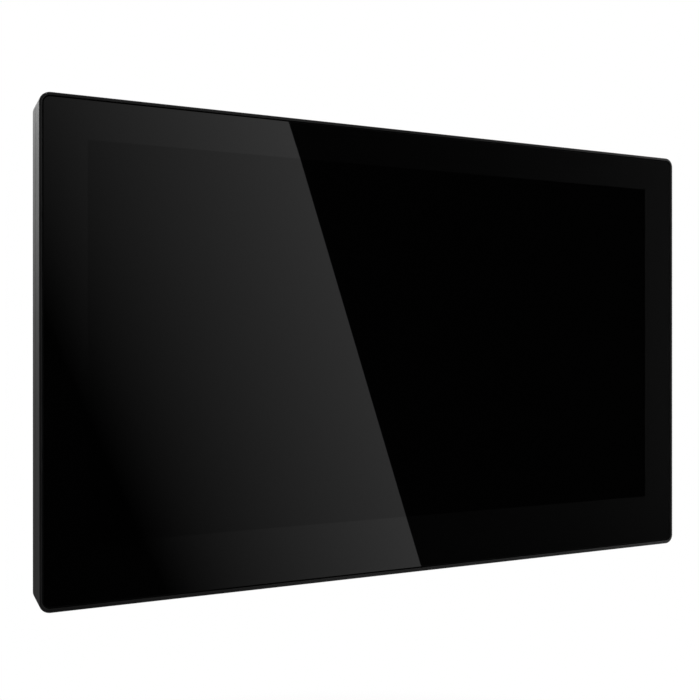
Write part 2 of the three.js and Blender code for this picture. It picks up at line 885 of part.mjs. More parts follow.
onBoard('sounder', sounder(), materials.chip, sounderSpot.x, sounderSpot.z);

// ---------------------------------------------------------------- ribbon cables

// The ribbon drops in front of the board's level, turns under the module and rises to a plug.
function ribbonCable(startY, startZ, x, width) {
  const plugY = partY + connectorHeight / 2;
  const endZ = bottomOf(board) + connectorDepth / 2;
  const path = new THREE.CurvePath();
  const low = ribbonRunZ;
  const at = (y, z) => new THREE.Vector2(y, z);
  path.add(new THREE.LineCurve(at(startY, startZ), at(startY, low + ribbonBend)));
  const frontBend = [at(startY, low + ribbonBend), at(startY, low), at(startY + ribbonBend, low)];
  path.add(new THREE.QuadraticBezierCurve(...frontBend));
  path.add(new THREE.LineCurve(at(startY + ribbonBend, low), at(plugY - ribbonBend, low)));
  const backBend = [at(plugY - ribbonBend, low), at(plugY, low), at(plugY, low + ribbonBend)];
  path.add(new THREE.QuadraticBezierCurve(...backBend));
  path.add(new THREE.LineCurve(at(plugY, low + ribbonBend), at(plugY, endZ)));
  return bar(stripShape(path, ribbonThickness, 32), x, width);
}

// A connector on the board's lower edge, with a mouth below for the ribbon.
function ribbonConnector(width) {
  const half = width / 2 + connectorCheek;
  const body = box([-half, half], [0, connectorHeight], [0, connectorDepth]);
  const slot = ribbonThickness / 2 + clearance;
  const mouthTop = connectorDepth / 2 + clearance;
  const mouth = box(around(0, width / 2 + clearance), around(connectorHeight / 2, slot), [-1, mouthTop]);
  return body.subtract(mouth);
}

function addRibbon(kind, startLayer, startRect, x, width) {
  const startY = (startLayer.front + startLayer.back) / 2;
  const ribbon = ribbonCable(startY, bottomOf(startRect) - seat, x, width);
  place(frontUnit, `${kind}_ribbon`, ribbon, materials.ribbon);
  const plug = ribbonConnector(width);
  place(frontUnit, `${kind}_connector`, plug, materials.connector, [x, partY, bottomOf(board)]);
}

addRibbon('touch', layers.sensor, sensorRect, touchRibbonX, touchRibbonWidth);
addRibbon('lcd', layers.cell, cellRect, lcdRibbonX, lcdRibbonWidth);

// ---------------------------------------------------------------- terminal block

const terminalXs = Array.from({ length: terminalCount }, (_, i) => (
  (i - (terminalCount - 1) / 2) * terminalPitch
));
const terminalBackY = partY + terminalTop;
const terminalScrewZ = topOf(board) + terminalReach / 2;

function terminalBlock() {
  const edge = topOf(board);
  const high = edge + terminalReach;
  const frontFace = boardBackY - terminalFront;
  const shape = polygon([
    [frontFace, edge + seat],
    [partY, edge + seat],
    [partY, edge - terminalFoot],
    [terminalBackY - terminalFootChamfer, edge - terminalFoot],
    [terminalBackY, edge - terminalFoot + terminalFootChamfer],
    [terminalBackY, high],
    [frontFace, high],
  ]);
  const width = terminalCount * terminalPitch + 2 * terminalEnd;
  const entryBack = terminalBackY - terminalWellDepth - clearance;
  const entryY = [entryBack - wireEntry, entryBack];
  const cuts = [];
  for (const x of terminalXs) {
    cuts.push(box(around(x, wireEntry / 2), entryY, [high - wireEntryDepth, high + past]));
    const wellFloor = terminalBackY - terminalWellDepth;
    cuts.push(rod(terminalWellRadius, wellFloor, terminalBackY + past, x, terminalScrewZ, 16));
  }
  return bar(shape, 0, width).subtract(joined(cuts));
}

// A headless clamping screw with a driver slot, standing in its well.
function terminalScrew() {
  const radius = terminalWellRadius - clearance;
  const tall = terminalScrewHeight;
  const slotY = [tall - terminalSlotWidth, tall + past];
  const slot = box(around(0, radius + past), slotY, around(0, terminalSlotWidth / 2));
  return rod(radius, 0, tall).subtract(slot);
}

place(frontUnit, 'terminal_block', terminalBlock(), materials.terminal);
terminalXs.forEach((x, i) => {
  const y = terminalBackY - terminalWellDepth + seat;
  const name = `terminal_screw_${i + 1}`;
  place(frontUnit, name, terminalScrew(), materials.screw, [x, y, terminalScrewZ]);
});

// ---------------------------------------------------------------- sockets

// A steel service socket on the board's left edge, open to the left.
function serviceSocket() {
  const shell = box([0, socketLength], [0, socketHeight], around(0, socketWidth / 2));
  const mouthY = [socketWall, socketHeight - socketWall];
  const mouthEnd = socketLength - 2 * socketWall;
  const mouth = box([-past, mouthEnd], mouthY, around(0, socketWidth / 2 - socketWall));
  const tongueY = around(socketHeight / 2, socketTongue.thickness / 2);
  const tongueX = [socketTongue.setback, mouthEnd + socketWall];
  const tongue = box(tongueX, tongueY, around(0, socketTongue.width / 2));
  return shell.subtract(mouth).add(tongue);
}

// A low steel cage for the card, open to the right.
const cardSocketWidth = cardWidth + 2 * (clearance + cardSocketWall);
const cardSocketHeight = cardThickness + 2 * (clearance + cardSocketWall);

function cardSocket() {
  const body = box([-cardSocketLength, 0], [0, cardSocketHeight], around(0, cardSocketWidth / 2));
  const mouth = box(
    [-cardSocketLength + cardSocketWall, 1],
    [cardSocketWall, cardSocketHeight - cardSocketWall],
    around(0, cardWidth / 2 + clearance),
  );
  return body.subtract(mouth);
}

function memoryCard() {
  const rect = { width: cardLength, height: cardWidth, x: cardShow - cardLength / 2, z: 0 };
  const corner = polygon([
    [cardShow - cardLength - past, cardWidth / 2 + past - cardCorner],
    [cardShow - cardLength - past + cardCorner, cardWidth / 2 + past],
    [cardShow - cardLength - past, cardWidth / 2 + past],
  ]);
  const blank = slab(outline(rect, cardRadius), 0, cardThickness);
  return blank.subtract(slab(corner, -past, cardThickness + past));
}

const boardRight = boardWidth / 2;
const cardY = partY + cardSocketWall + clearance;
const socketZ = board.z - socketBelowBoardCentre;
place(frontUnit, 'service_socket', serviceSocket(), materials.steel, [-boardRight, partY, socketZ]);
place(frontUnit, 'card_socket', cardSocket(), materials.steel, [boardRight, partY, cardZ]);
const card = new THREE.Group();
frontUnit.add(card);
place(card, 'memory_card', memoryCard(), materials.card, [boardRight, cardY, cardZ]);

// ---------------------------------------------------------------- tamper switch

function tamperSwitch() {
  const bore = rod(plungerRadius + clearance, -past, tamperCase.tall + past);
  return moulded(tamperCase).subtract(bore);
}

// The plunger stands in the switch's bore, with its end on the base's post.
function tamperPlunger() {
  return rod(plungerRadius, clearance, tamperCase.tall + plungerShow);
}

place(frontUnit, 'tamper_switch', tamperSwitch(), materials.chip, [tamperX, partY, tamperZ]);
const plunger = new THREE.Group();
frontUnit.add(plunger);
place(plunger, 'tamper_plunger', tamperPlunger(), materials.plunger, [tamperX, partY, tamperZ]);

export default assembly;
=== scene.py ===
# %% [markdown]
# # A touch alarm keypad
# The keypad of an alarm system is a flat box for the wall. A plate of black glass covers the whole
# front, a thin black plastic frame runs round it, and everything else hides behind: the display,
# its steel tray, the main board and a plastic base that is screwed to the wall.
#
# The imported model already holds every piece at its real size. This lesson gives each surface its
# finish, models the pieces that people see again with softer edges and more detail, and sets up
# the camera and a plain studio.

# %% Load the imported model
import json
from math import cos, hypot, pi, radians, sin

import bmesh
import bpy
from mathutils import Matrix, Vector


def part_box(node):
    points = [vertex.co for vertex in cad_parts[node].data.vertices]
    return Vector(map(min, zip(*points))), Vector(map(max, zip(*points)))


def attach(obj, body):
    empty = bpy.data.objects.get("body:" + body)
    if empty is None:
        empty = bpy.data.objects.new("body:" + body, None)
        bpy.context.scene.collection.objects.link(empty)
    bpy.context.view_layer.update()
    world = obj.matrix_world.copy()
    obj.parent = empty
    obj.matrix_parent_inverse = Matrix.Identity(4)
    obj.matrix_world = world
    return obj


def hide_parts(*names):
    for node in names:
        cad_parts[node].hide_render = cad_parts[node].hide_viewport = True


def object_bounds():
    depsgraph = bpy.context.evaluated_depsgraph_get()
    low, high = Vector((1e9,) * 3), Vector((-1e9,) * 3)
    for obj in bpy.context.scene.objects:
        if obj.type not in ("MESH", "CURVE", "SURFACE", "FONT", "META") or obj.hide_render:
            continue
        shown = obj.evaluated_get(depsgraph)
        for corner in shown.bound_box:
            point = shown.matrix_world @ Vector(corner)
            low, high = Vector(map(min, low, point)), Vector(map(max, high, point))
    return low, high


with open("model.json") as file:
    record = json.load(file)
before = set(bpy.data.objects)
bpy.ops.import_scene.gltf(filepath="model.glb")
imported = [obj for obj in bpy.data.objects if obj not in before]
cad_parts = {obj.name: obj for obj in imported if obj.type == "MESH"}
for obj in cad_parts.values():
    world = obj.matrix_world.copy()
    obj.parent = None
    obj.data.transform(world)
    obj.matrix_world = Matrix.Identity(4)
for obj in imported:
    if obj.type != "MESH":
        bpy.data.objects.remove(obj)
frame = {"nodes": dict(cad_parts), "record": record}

mm = 0.001
near = 0.01 * mm
cad_box = [list(corner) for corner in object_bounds()]
print(len(frame["nodes"]), "pieces in a box from", cad_box[0], "to", cad_box[1])

# %% [markdown]
# ## The box and its levels
# The origin lies in the middle of the wall face. The room is on the side of negative Y, so the
# glass has the lowest Y of all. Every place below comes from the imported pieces, and the few
# thicknesses that no piece shows directly are named here once. A size along one axis is a span, a
# pair of its low and its high end, so that a block is written as three spans.

# %% Name the outline and the levels of the housing
def spans(node):
    """The x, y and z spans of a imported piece."""
    return list(zip(*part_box(node)))


def around(middle, size):
    """The span of a size around a middle."""
    return middle - size / 2, middle + size / 2


def grown(span, extra):
    """A span made longer by extra at both ends."""
    return span[0] - extra, span[1] + extra


def centre_of(node):
    """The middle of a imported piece's box."""
    low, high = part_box(node)
    return (low + high) / 2


panel_low, panel_high = (Vector(corner) for corner in cad_box)
panel_x, panel_z = zip(panel_low.xz, panel_high.xz)
panel_size = panel_high - panel_low
corner_radius, wall, lip_width = 3.5 * mm, 2 * mm, 1 * mm
base_front, floor_front = -8 * mm, -1.8 * mm
frame_back, ledge_front, ledge_back = -8.3 * mm, -13.6 * mm, -12.1 * mm
gasket_low, gasket_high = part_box("dust_gasket")
gasket_reach = Vector((3.5 * mm, 0, 3.5 * mm))
window_low, window_high = gasket_low + gasket_reach, gasket_high - gasket_reach
print("panel", [round(size / mm, 1) for size in panel_size], "mm")
print("window", [round(size / mm, 1) for size in window_high - window_low], "mm")

# %% [markdown]
# ## Camera
# The camera stands close to the panel, 30 cm in front of the left edge and level with its middle,
# and looks to the right. So near, the left side is much taller than the right one.

# %% Place the camera
turn_right = radians(24.904)
left_of_panel, before_panel, above_middle = 36.3 * mm, 303.7 * mm, 1.77 * mm
camera_place = (panel_low.x - left_of_panel, panel_low.y - before_panel, above_middle)
bpy.ops.object.camera_add(location=camera_place, rotation=(pi / 2, 0, -turn_right))
camera = bpy.context.object
camera.name = "camera"
camera.data.lens = 49
camera.data.sensor_width = 36
camera.data.shift_y = -0.0048
camera.data.clip_start = 0.01
bpy.context.scene.camera = camera
print("camera at", [round(place, 4) for place in camera.location])

# %% [markdown]
# ## A toolbox for modelling by operators
# An operator acts on everything that is selected. So each helper first leaves edit mode and
# deselects all, and then picks its own faces or edges by their place. Adding and cutting are
# boolean modifiers that are applied at once.

# %% Deselect, start a block and apply its place
def deselect_all():
    """Leaves edit mode and selects nothing."""
    if bpy.context.mode != "OBJECT":
        bpy.ops.object.mode_set(mode="OBJECT")
    bpy.ops.object.select_all(action="DESELECT")


def make_active(piece):
    """Selects one piece alone."""
    deselect_all()
    piece.select_set(True)
    bpy.context.view_layer.objects.active = piece


def settle(name):
    """Names the newest object and puts its place into its mesh."""
    piece = bpy.context.object
    piece.name = piece.data.name = name
    bpy.ops.object.transform_apply(location=True, rotation=True, scale=True)
    return piece


def put(piece, place, turn=(0, 0, 0)):
    """Turns and moves a finished piece, and puts both into its mesh."""
    make_active(piece)
    piece.location, piece.rotation_euler = place, turn
    return settle(piece.name)


def block(name, x, y, z):
    """A cube primitive that fills three spans."""
    deselect_all()
    low, high = (Vector(corner) for corner in zip(x, y, z))
    bpy.ops.mesh.primitive_cube_add(size=1, location=(low + high) / 2)
    bpy.context.object.scale = high - low
    return settle(name)


def rod(name, radius, front, back, x, z, sides=32):
    """A cylinder primitive along Y."""
    deselect_all()
    place = (x, (front + back) / 2, z)
    turned = (pi / 2, 0, 0)
    bpy.ops.mesh.primitive_cylinder_add(
        vertices=sides, radius=radius, depth=back - front, location=place, rotation=turned
    )
    return settle(name)


# %% Pick faces and edges by their place
def edit(piece, kind, action="DESELECT"):
    """Opens a piece in edit mode with nothing, or everything, selected."""
    make_active(piece)
    bpy.ops.object.mode_set(mode="EDIT")
    bpy.ops.mesh.select_mode(type=kind)
    bpy.ops.mesh.select_all(action=action)
    return bmesh.from_edit_mesh(piece.data)


def pick_faces(piece, test):
    """Selects the faces whose centre and normal pass the test."""
    for face in edit(piece, "FACE").faces:
        if test(face.calc_center_median(), face.normal):
            face.select_set(True)
    bmesh.update_edit_mesh(piece.data)


def pick_edges(piece, test):
    """Selects the edges whose two ends, given together, pass the test."""
    for edge in edit(piece, "EDGE").edges:
        if test(edge.verts[0].co, edge.verts[1].co):
            edge.select_set(True)
    bmesh.update_edit_mesh(piece.data)


def level(value, target):
    """True where a value lies at the target, within a hundredth of a millimetre."""
    return abs(value - target) < near


def both(test):
    """A test for edges that passes where each end passes."""
    return lambda a, b: test(a) and test(b)


def at_y(y):
    """A test for edges that lie at one y."""
    return both(lambda end: level(end.y, y))


def everywhere(*ends):
    """A test that every edge passes."""
    return True


# %% Bevel, slice and turn
def bevel(piece, width, steps, test):
    """Rounds the edges that pass the test. One step makes a flat bevel."""
    pick_edges(piece, test)
    bpy.ops.mesh.bevel(offset=width, segments=steps, affect="EDGES")
    deselect_all()


def slice_at(piece, axis, place):
    """Divides the faces by the plane at one place along x or z, and keeps both sides."""
    normal = Vector((float(axis == "x"), 0, float(axis == "z")))
    edit(piece, "FACE", "SELECT")
    bpy.ops.mesh.bisect(plane_co=normal * place, plane_no=normal)
    deselect_all()


def turn_round(piece, angle, middle):
    """Turns a mesh round a line along Y, by an angle that is a quarter or half of a circle."""
    edit(piece, "FACE", "SELECT")
    bpy.ops.transform.rotate(value=angle, orient_axis="Y", center_override=middle)
    deselect_all()


# %% Cut, join, copy and apply modifiers
def apply_modifier(piece, kind, **settings):
    """Adds a modifier with the given settings and applies it at once."""
    make_active(piece)
    modifier = piece.modifiers.new(kind.title(), kind)
    for name, value in settings.items():
        setattr(modifier, name, value)
    bpy.ops.object.modifier_apply(modifier=modifier.name)


def cut(piece, tool, operation="DIFFERENCE"):
    """Takes the tool's shape out of the piece, and the tool out of the scene."""
    apply_modifier(piece, "BOOLEAN", object=tool, operation=operation, solver="EXACT")
    bpy.data.objects.remove(tool)


def add(piece, tool):
    """Adds the tool's shape to the piece."""
    cut(piece, tool, "UNION")


def carve(piece, x, y, z):
    """Cuts a block that fills three spans out of the piece."""
    cut(piece, block("carved", x, y, z))


def drill(piece, radius, front, back, x, z, sides=32):
    """Cuts a round hole along Y out of the piece."""
    cut(piece, rod("drilled", radius, front, back, x, z, sides))


def repeat(piece, count, step):
    """Makes a row of a piece, each copy one step further, in one mesh."""
    apply_modifier(
        piece, "ARRAY", count=count, use_relative_offset=False,
        use_constant_offset=True, constant_offset_displace=step,
    )


def join(name, pieces):
    """Makes one object of several that don't touch."""
    deselect_all()
    for piece in pieces:
        piece.select_set(True)
    bpy.context.view_layer.objects.active = pieces[0]
    bpy.ops.object.join()
    pieces[0].name = pieces[0].data.name = name
    return pieces[0]


def copy_to(piece, name, shift):
    """A copy with its own mesh, moved by shift."""
    make_active(piece)
    bpy.ops.object.duplicate()
    bpy.context.object.location = shift
    return settle(name)


def smooth(piece):
    """Shades curved faces smoothly, keeps edges sharp, and lets the large faces stay flat."""
    make_active(piece)
    bpy.ops.object.shade_smooth_by_angle(angle=radians(30))
    apply_modifier(piece, "WEIGHTED_NORMAL", mode="FACE_AREA", weight=100, keep_sharp=True)
    deselect_all()
    print(piece.name, len(piece.data.polygons), "faces")
    return piece


# %% [markdown]
# ## Rounded boxes
# The frame, the base and the glass are all rounded boxes that lie in one another. The four edges
# that run towards the wall are bevelled into corners, then the rims get their small roundings.
# A hollow is an inset face that is pushed in, which keeps the corners true to the outline.

# %% Rounded block, rim and hollow
def rounded_block(name, x, y, z, radius, steps=8):
    """A block whose four edges along Y are rounded."""
    piece = block(name, x, y, z)
    bevel(piece, radius, steps, lambda a, b: abs(a.y - b.y) > near)
    return piece


def inset_of(point):
    """How far a point lies inside the panel's outline, looking along Y."""
    half = panel_size / 2
    across = abs(point.x) - (half.x - corner_radius)
    up = abs(point.z) - (half.z - corner_radius)
    outside = hypot(max(across, 0), max(up, 0))
    return corner_radius - outside - min(max(across, up), 0)


def round_rim(piece, y, inset, width, steps):
    """Rounds the closed rim that lies at one y and one distance inside the outline."""
    slack = 0.05 * mm
    bevel(piece, width, steps, both(lambda end: level(end.y, y) and abs(inset_of(end) - inset) < slack))


def sink_face(piece, y, margin, depth):
    """Insets the flat face at y and pushes its middle in by depth along Y."""
    pick_faces(piece, lambda centre, normal: level(centre.y, y) and abs(normal.y) > 0.99)
    bpy.ops.mesh.inset(thickness=margin, depth=0)
    bpy.ops.mesh.extrude_region_move(TRANSFORM_OT_translate={"value": (0, depth, 0)})
    deselect_all()


# %% [markdown]
# ## Front frame
# On the real keypad the frame is one black moulding: a lip of 1 mm round the glass, a little more
# below it, side walls of 2 mm, and a ledge inside that the glass is taped to. It could be drawn as
# an outline with a thickness, but starting from one rounded block and pushing a hollow in from
# each side leaves the ledge standing between them, just as the mould does.

# %% Frame: rounded block with two hollows
lip_rounding, lip_inner_rounding, parting_rounding = 0.35 * mm, 0.12 * mm, 0.25 * mm
lower_lip = 0.3 * mm


def raise_lower_edge(piece, inset):
    """Moves the lower edge of a recess or plate up by what the lip is wider below."""
    slack = 0.2 * mm
    pick_edges(piece, both(
        lambda end: end.z < 0 and end.y < ledge_front + near and inset_of(end) > inset - slack
    ))
    bpy.ops.transform.translate(value=(0, 0, lower_lip))
    deselect_all()


frame_shell = rounded_block(
    "frame_shell", panel_x, (panel_low.y, frame_back), panel_z, corner_radius, steps=12
)
round_rim(frame_shell, panel_low.y, 0, lip_rounding, 4)
round_rim(frame_shell, frame_back, 0, parting_rounding, 3)
sink_face(frame_shell, panel_low.y, lip_width - lip_rounding, ledge_front - panel_low.y)
sink_face(frame_shell, frame_back, wall - parting_rounding, ledge_back - frame_back)
round_rim(frame_shell, panel_low.y, lip_width, lip_inner_rounding, 2)
raise_lower_edge(frame_shell, lip_width)
print("frame walls reach back to", round(frame_back / mm, 1), "mm")

# %% Frame: the opening in the ledge and the ribbon notches
display_x, _, display_z = spans("lcd_bezel")
display_play, notch_margin, notch_drop = 0.5 * mm, mm, 2.4 * mm
ledge_y = (ledge_front - mm, ledge_back + mm)
opening_x, opening_z = grown(display_x, display_play), grown(display_z, display_play)
cut(frame_shell, rounded_block("opening", opening_x, ledge_y, opening_z, mm, steps=4))
notch_z = (display_z[0] - notch_drop, display_z[0] + mm)
for ribbon in ("touch_ribbon", "lcd_ribbon"):
    carve(frame_shell, grown(spans(ribbon)[0], notch_margin), ledge_y, notch_z)

# %% [markdown]
# Three hooks under the top wall carry the frame on the base. Seen from the side each is an arc
# round the line where the two mouldings meet, so that the frame can swing up and lift off. The
# face of a thin block, spun round that line, gives exactly such an arc.

# %% Frame: hooks as spun profiles on short roots
hinge = Vector((0, (base_front + frame_back) / 2, panel_high.z - 0.1 * mm))
hook_xs = (-80 * mm, 0, 80 * mm)
hook_width, hook_inner, hook_outer, hook_start = 12 * mm, 3.6 * mm, 4.9 * mm, 0.1 * mm
hook_up, hook_down = radians(50), radians(25)
root_depth, root_back = 3 * mm, frame_back - 0.3 * mm


def hook(x):
    """An arc round the hinge line, from a thin block that is spun both ways."""
    hook_z = (hinge.z - hook_outer, hinge.z - hook_inner)
    arc = block("hook", around(x, hook_width), (hinge.y, hinge.y + hook_start), hook_z)
    for side, steps, angle in ((1, 10, -hook_up), (-1, 5, hook_down)):
        pick_faces(arc, lambda centre, normal: normal.y * side > 0.99 and centre.z < hinge.z)
        bpy.ops.mesh.spin(
            steps=steps, angle=angle, center=hinge, axis=(1, 0, 0), use_normal_flip=False
        )
    deselect_all()
    return arc


for x in hook_xs:
    root_z = (hinge.z - hook_outer, panel_high.z - wall / 2)
    root = block("root", around(x, hook_width), (root_back - root_depth, root_back), root_z)
    add(frame_shell, root)
    add(frame_shell, hook(x))

# %% [markdown]
# Four round bosses beside the display take the bracket screws. The bottom wall has a row of nine
# narrow slots for the sounder and two shallow pry slots. What repeats is made once: the slot
# cutter is one small block with an array modifier.

# %% Frame: bosses, sound slots and pry slots
tray_x, tray_y, tray_z = spans("lcd_tray")
tray_back = -8.4 * mm
boss_radius, pilot_radius, pilot_depth = 2.3 * mm, 1.3 * mm, 3.1 * mm
for number in range(1, 5):
    spot = centre_of(f"bracket_screw_{number}")
    boss = rod("boss", boss_radius, ledge_back - 0.5 * mm, tray_back, spot.x, spot.z)
    add(frame_shell, boss)
    pilot = rod("pilot", pilot_radius, tray_back - pilot_depth, tray_back + mm, spot.x, spot.z)
    cut(frame_shell, pilot)

slot_count, slot_pitch, slot_width, slot_depth = 9, 2.8 * mm, 1.2 * mm, 1.8 * mm
slot_y = around(frame_back - 2.6 * mm, slot_depth)
bottom_wall = (panel_low.z - mm, panel_low.z + wall + 0.25 * mm)
first_slot = -(slot_count - 1) / 2 * slot_pitch
sound_slots = block("slots", around(first_slot, slot_width), slot_y, bottom_wall)
bevel(sound_slots, slot_width * 0.45, 4, lambda a, b: abs(a.z - b.z) > near)
repeat(sound_slots, slot_count, (slot_pitch, 0, 0))
cut(frame_shell, sound_slots)
pry_x, pry_width, pry_depth = 68 * mm, 12 * mm, 1.1 * mm
for x in (-pry_x, pry_x):
    pry_y = (frame_back - pry_depth, frame_back + mm)
    carve(frame_shell, around(x, pry_width), pry_y, bottom_wall)
smooth(frame_shell)

# %% [markdown]
# ## Rear base
# The base is a shallow tray of the same black plastic. Its floor lies on the wall, with an opening
# for the cable, slots for the wall screws, ribs against warping, and a post that presses the tamper
# switch. A thin skirt stands up inside the frame's walls, so no light shows through the gap.

# %% Base: rounded block with one hollow
wall_side_rounding = 0.6 * mm
base_shell = rounded_block(
    "base_shell", panel_x, (base_front, panel_high.y), panel_z, corner_radius, steps=12
)
round_rim(base_shell, base_front, 0, parting_rounding, 3)
round_rim(base_shell, 0, 0, wall_side_rounding, 4)
sink_face(base_shell, base_front, wall - parting_rounding, floor_front - base_front)

# %% [markdown]
# A union of two solids with faces in one plane can leave small tears. So each added piece here
# either sinks into the one before it or stands back from its faces by a hair.

# %% Base: the skirt, a stepped block with its middle taken out
skirt_gap, skirt_wall, skirt_reach, skirt_root = 0.3 * mm, 0.8 * mm, mm, 1.4 * mm
hair, sunk = 0.02 * mm, 0.5 * mm


def inset_block(name, inset, front, back):
    """A rounded block inside the panel's outline, all round by the inset."""
    x, z = grown(panel_x, -inset), grown(panel_z, -inset)
    return rounded_block(name, x, (front, back), z, corner_radius - inset, steps=6)


skirt_front = frame_back - skirt_reach
skirt_back = base_front + skirt_gap + skirt_root
skirt_y = (skirt_front - mm, skirt_back + mm)
skirt = inset_block("skirt", wall + skirt_gap, skirt_front, skirt_back - mm / 2)
add(skirt, inset_block("root", wall - sunk / 2, base_front + skirt_gap, skirt_back))
cut(skirt, inset_block("inside", wall + skirt_gap + skirt_wall, *skirt_y))
for x in hook_xs:
    gap_x = grown(around(x, hook_width), 2 * skirt_gap)
    carve(skirt, gap_x, skirt_y, (0, panel_high.z - wall + sunk))
add(base_shell, skirt)

# %% Base: the ridges that the hooks reach behind
ridge_width, ridge_depth, ridge_height = 18 * mm, 1.4 * mm, mm
ridge_y = (base_front + hair, base_front + ridge_depth)
ridge_z = (panel_high.z - wall - ridge_height, panel_high.z - wall + sunk)
for x in hook_xs:
    add(base_shell, block("ridge", around(x, ridge_width), ridge_y, ridge_z))

# %% Base: guide tabs with a lead-in at their tips
tab_width, tab_wall, tab_reach = 14 * mm, 1.5 * mm, 2.5 * mm
tab_bottom = panel_low.z + wall + skirt_gap - hair
tab_top, tab_tip = tab_bottom + tab_wall, frame_back - tab_reach
foot_y = (base_front + 2 * skirt_gap, floor_front + sunk / 2)
foot_z = (tab_bottom - skirt_gap - sunk, tab_bottom + sunk)
for x in (-95 * mm, -40 * mm, 40 * mm, 95 * mm):
    tab_x = around(x, tab_width)
    tab = block("tab", tab_x, (tab_tip, floor_front + sunk), (tab_bottom, tab_top))
    bevel(tab, tab_wall / 2, 3, both(lambda end: level(end.y, tab_tip) and level(end.z, tab_top)))
    add(tab, block("foot", grown(tab_x, -hair), foot_y, foot_z))
    add(base_shell, tab)

# %% Base: ribs against warping and the tamper post
rib_x, rib_z = panel_high.x - 34 * mm, panel_high.z - 10 * mm
rib_wall, rib_height = 1.2 * mm, 2.6 * mm
rib_y = (floor_front - rib_height, floor_front + sunk)
for side in (-1, 1):
    upright = block("rib", around(side * rib_x, rib_wall), rib_y, (-rib_z, rib_z))
    add(base_shell, upright)
    across = [(-rib_x, rib_x), rib_y, around(side * rib_z, rib_wall)]
    add(base_shell, block("rib", *(grown(span, -hair) for span in across)))

plunger_low, plunger_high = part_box("tamper_plunger")
post = centre_of("tamper_plunger")
post_radius, seat = 2.5 * mm, 0.05 * mm
post_front = plunger_high.y + seat
add(base_shell, rod("post", post_radius, post_front, rib_y[1] - hair, post.x, post.z))

# %% Base: cable opening with its collar, and the screw slots
free_box = frame["record"]["physics"]["openings"][0]["box_m"]
free_x, _, free_z = zip(*(Vector(corner) for corner in free_box))
cable_radius, collar_wall, collar_height = 3 * mm, 1.2 * mm, mm


def cable_hole(name, extra, front, back):
    """A rounded block round the cable opening, larger by extra on every side."""
    x, z = grown(free_x, mm + extra), grown(free_z, mm + extra)
    return rounded_block(name, x, (front, back), z, cable_radius + extra, steps=6)


collar = cable_hole("collar", collar_wall, floor_front - collar_height, floor_front + sunk)
add(base_shell, collar)
cut(base_shell, cable_hole("cable_opening", 0, floor_front - 2 * mm, mm))

slot_wide, slot_long = 3.8 * mm, 9 * mm
corner_x, corner_z = panel_high.x - 26 * mm, panel_high.z - 21 * mm
cable_slot_x, cable_slot_z = 30 * mm, sum(free_z) / 2
screw_slots = []
for side in (-1, 1):
    screw_slots.append((side * corner_x, corner_z, slot_long, slot_wide))
    screw_slots.append((side * corner_x, -corner_z, slot_wide, slot_long))
    screw_slots.append((side * cable_slot_x, cable_slot_z, slot_wide, slot_long))


def round_slot(name, slot, extra, front, back):
    """A round-ended block over a screw slot, larger by extra on every side."""
    x, z, wide, tall = slot
    slot_x, slot_z = grown(around(x, wide), extra), grown(around(z, tall), extra)
    return rounded_block(name, slot_x, (front, back), slot_z, slot_wide * 0.49 + extra)


for slot in screw_slots:
    cut(base_shell, round_slot("slot", slot, 0, floor_front - mm, mm))

# %% [markdown]
# On the wall side the base only touches with a rim and with pads round its openings. The field
# between lies a quarter of a millimetre deeper, so an uneven wall doesn't rock it. A shallow
# channel leads a surface cable up from a break-out in the bottom edge.

# %% Base: sunk field, pads, cable channel and break-out
field_depth, field_rim, field_radius, pad_margin = 0.25 * mm, 6 * mm, 5 * mm, 3 * mm
field_x, field_z = grown(panel_x, -field_rim), grown(panel_z, -field_rim)
field = rounded_block("field", field_x, (-field_depth, mm), field_z, field_radius, steps=7)
for slot in screw_slots:
    cut(field, round_slot("pad", slot, pad_margin, -mm, 2 * mm))
cut(field, cable_hole("pad", pad_margin, -mm, 2 * mm))
cut(base_shell, field)

channel_width, channel_depth, channel_bottom = 12 * mm, 0.7 * mm, field_z[0] + 3 * mm
channel_z = (channel_bottom, free_z[0] + mm)
carve(base_shell, around(0, channel_width), (-channel_depth, mm), channel_z)
line_wide, line_depth = 0.5 * mm, 0.5 * mm
break_x, break_top = around(0, 16 * mm), channel_bottom + mm
breakout = block("breakout", break_x, (-line_depth, mm), (panel_low.z - mm, break_top))
kept_z = (panel_low.z - 2 * mm, break_top - line_wide)
carve(breakout, grown(break_x, -line_wide), (-mm, 2 * mm), kept_z)
cut(base_shell, breakout)

# %% [markdown]
# The pins that push a moulding out of its mould leave round marks a tenth of a millimetre deep,
# and a dial in the mould, with an arrow, tells when it was made. Such traces make a plain back
# look like a real one.

# %% Base: ejector marks and the mould's dial
mark_radius, mark_y = 2.5 * mm, (-field_depth - 0.12 * mm, mm)
mark_spots = [(x, z) for x in (-108, -56, 56, 108) for z in (-66, 0, 70)]
mark_spots += [(x, z) for x in (-18, 18) for z in (-62, -12)]
for x, z in mark_spots:
    drill(base_shell, mark_radius, *mark_y, x * mm, z * mm, sides=24)
dial_x, dial_z, dial_radius, dial_line = -80 * mm, -34 * mm, 4 * mm, 0.4 * mm
dial = rod("dial", dial_radius, *mark_y, dial_x, dial_z, sides=36)
drill(dial, dial_radius - dial_line, -mm, 2 * mm, dial_x, dial_z, sides=36)
arrow = block("arrow", around(dial_x, 0.5 * mm), mark_y, around(dial_z, 4 * mm))
head_z = (dial_z + 1.4 * mm, dial_z + 3 * mm)
head = block("head", around(dial_x, 2 * mm), mark_y, head_z)
pick_faces(head, lambda centre, normal: normal.z > 0.99)
bpy.ops.transform.resize(value=(0.1, 1, 1))
for tool in (dial, arrow, head):
    cut(base_shell, tool)
smooth(base_shell)

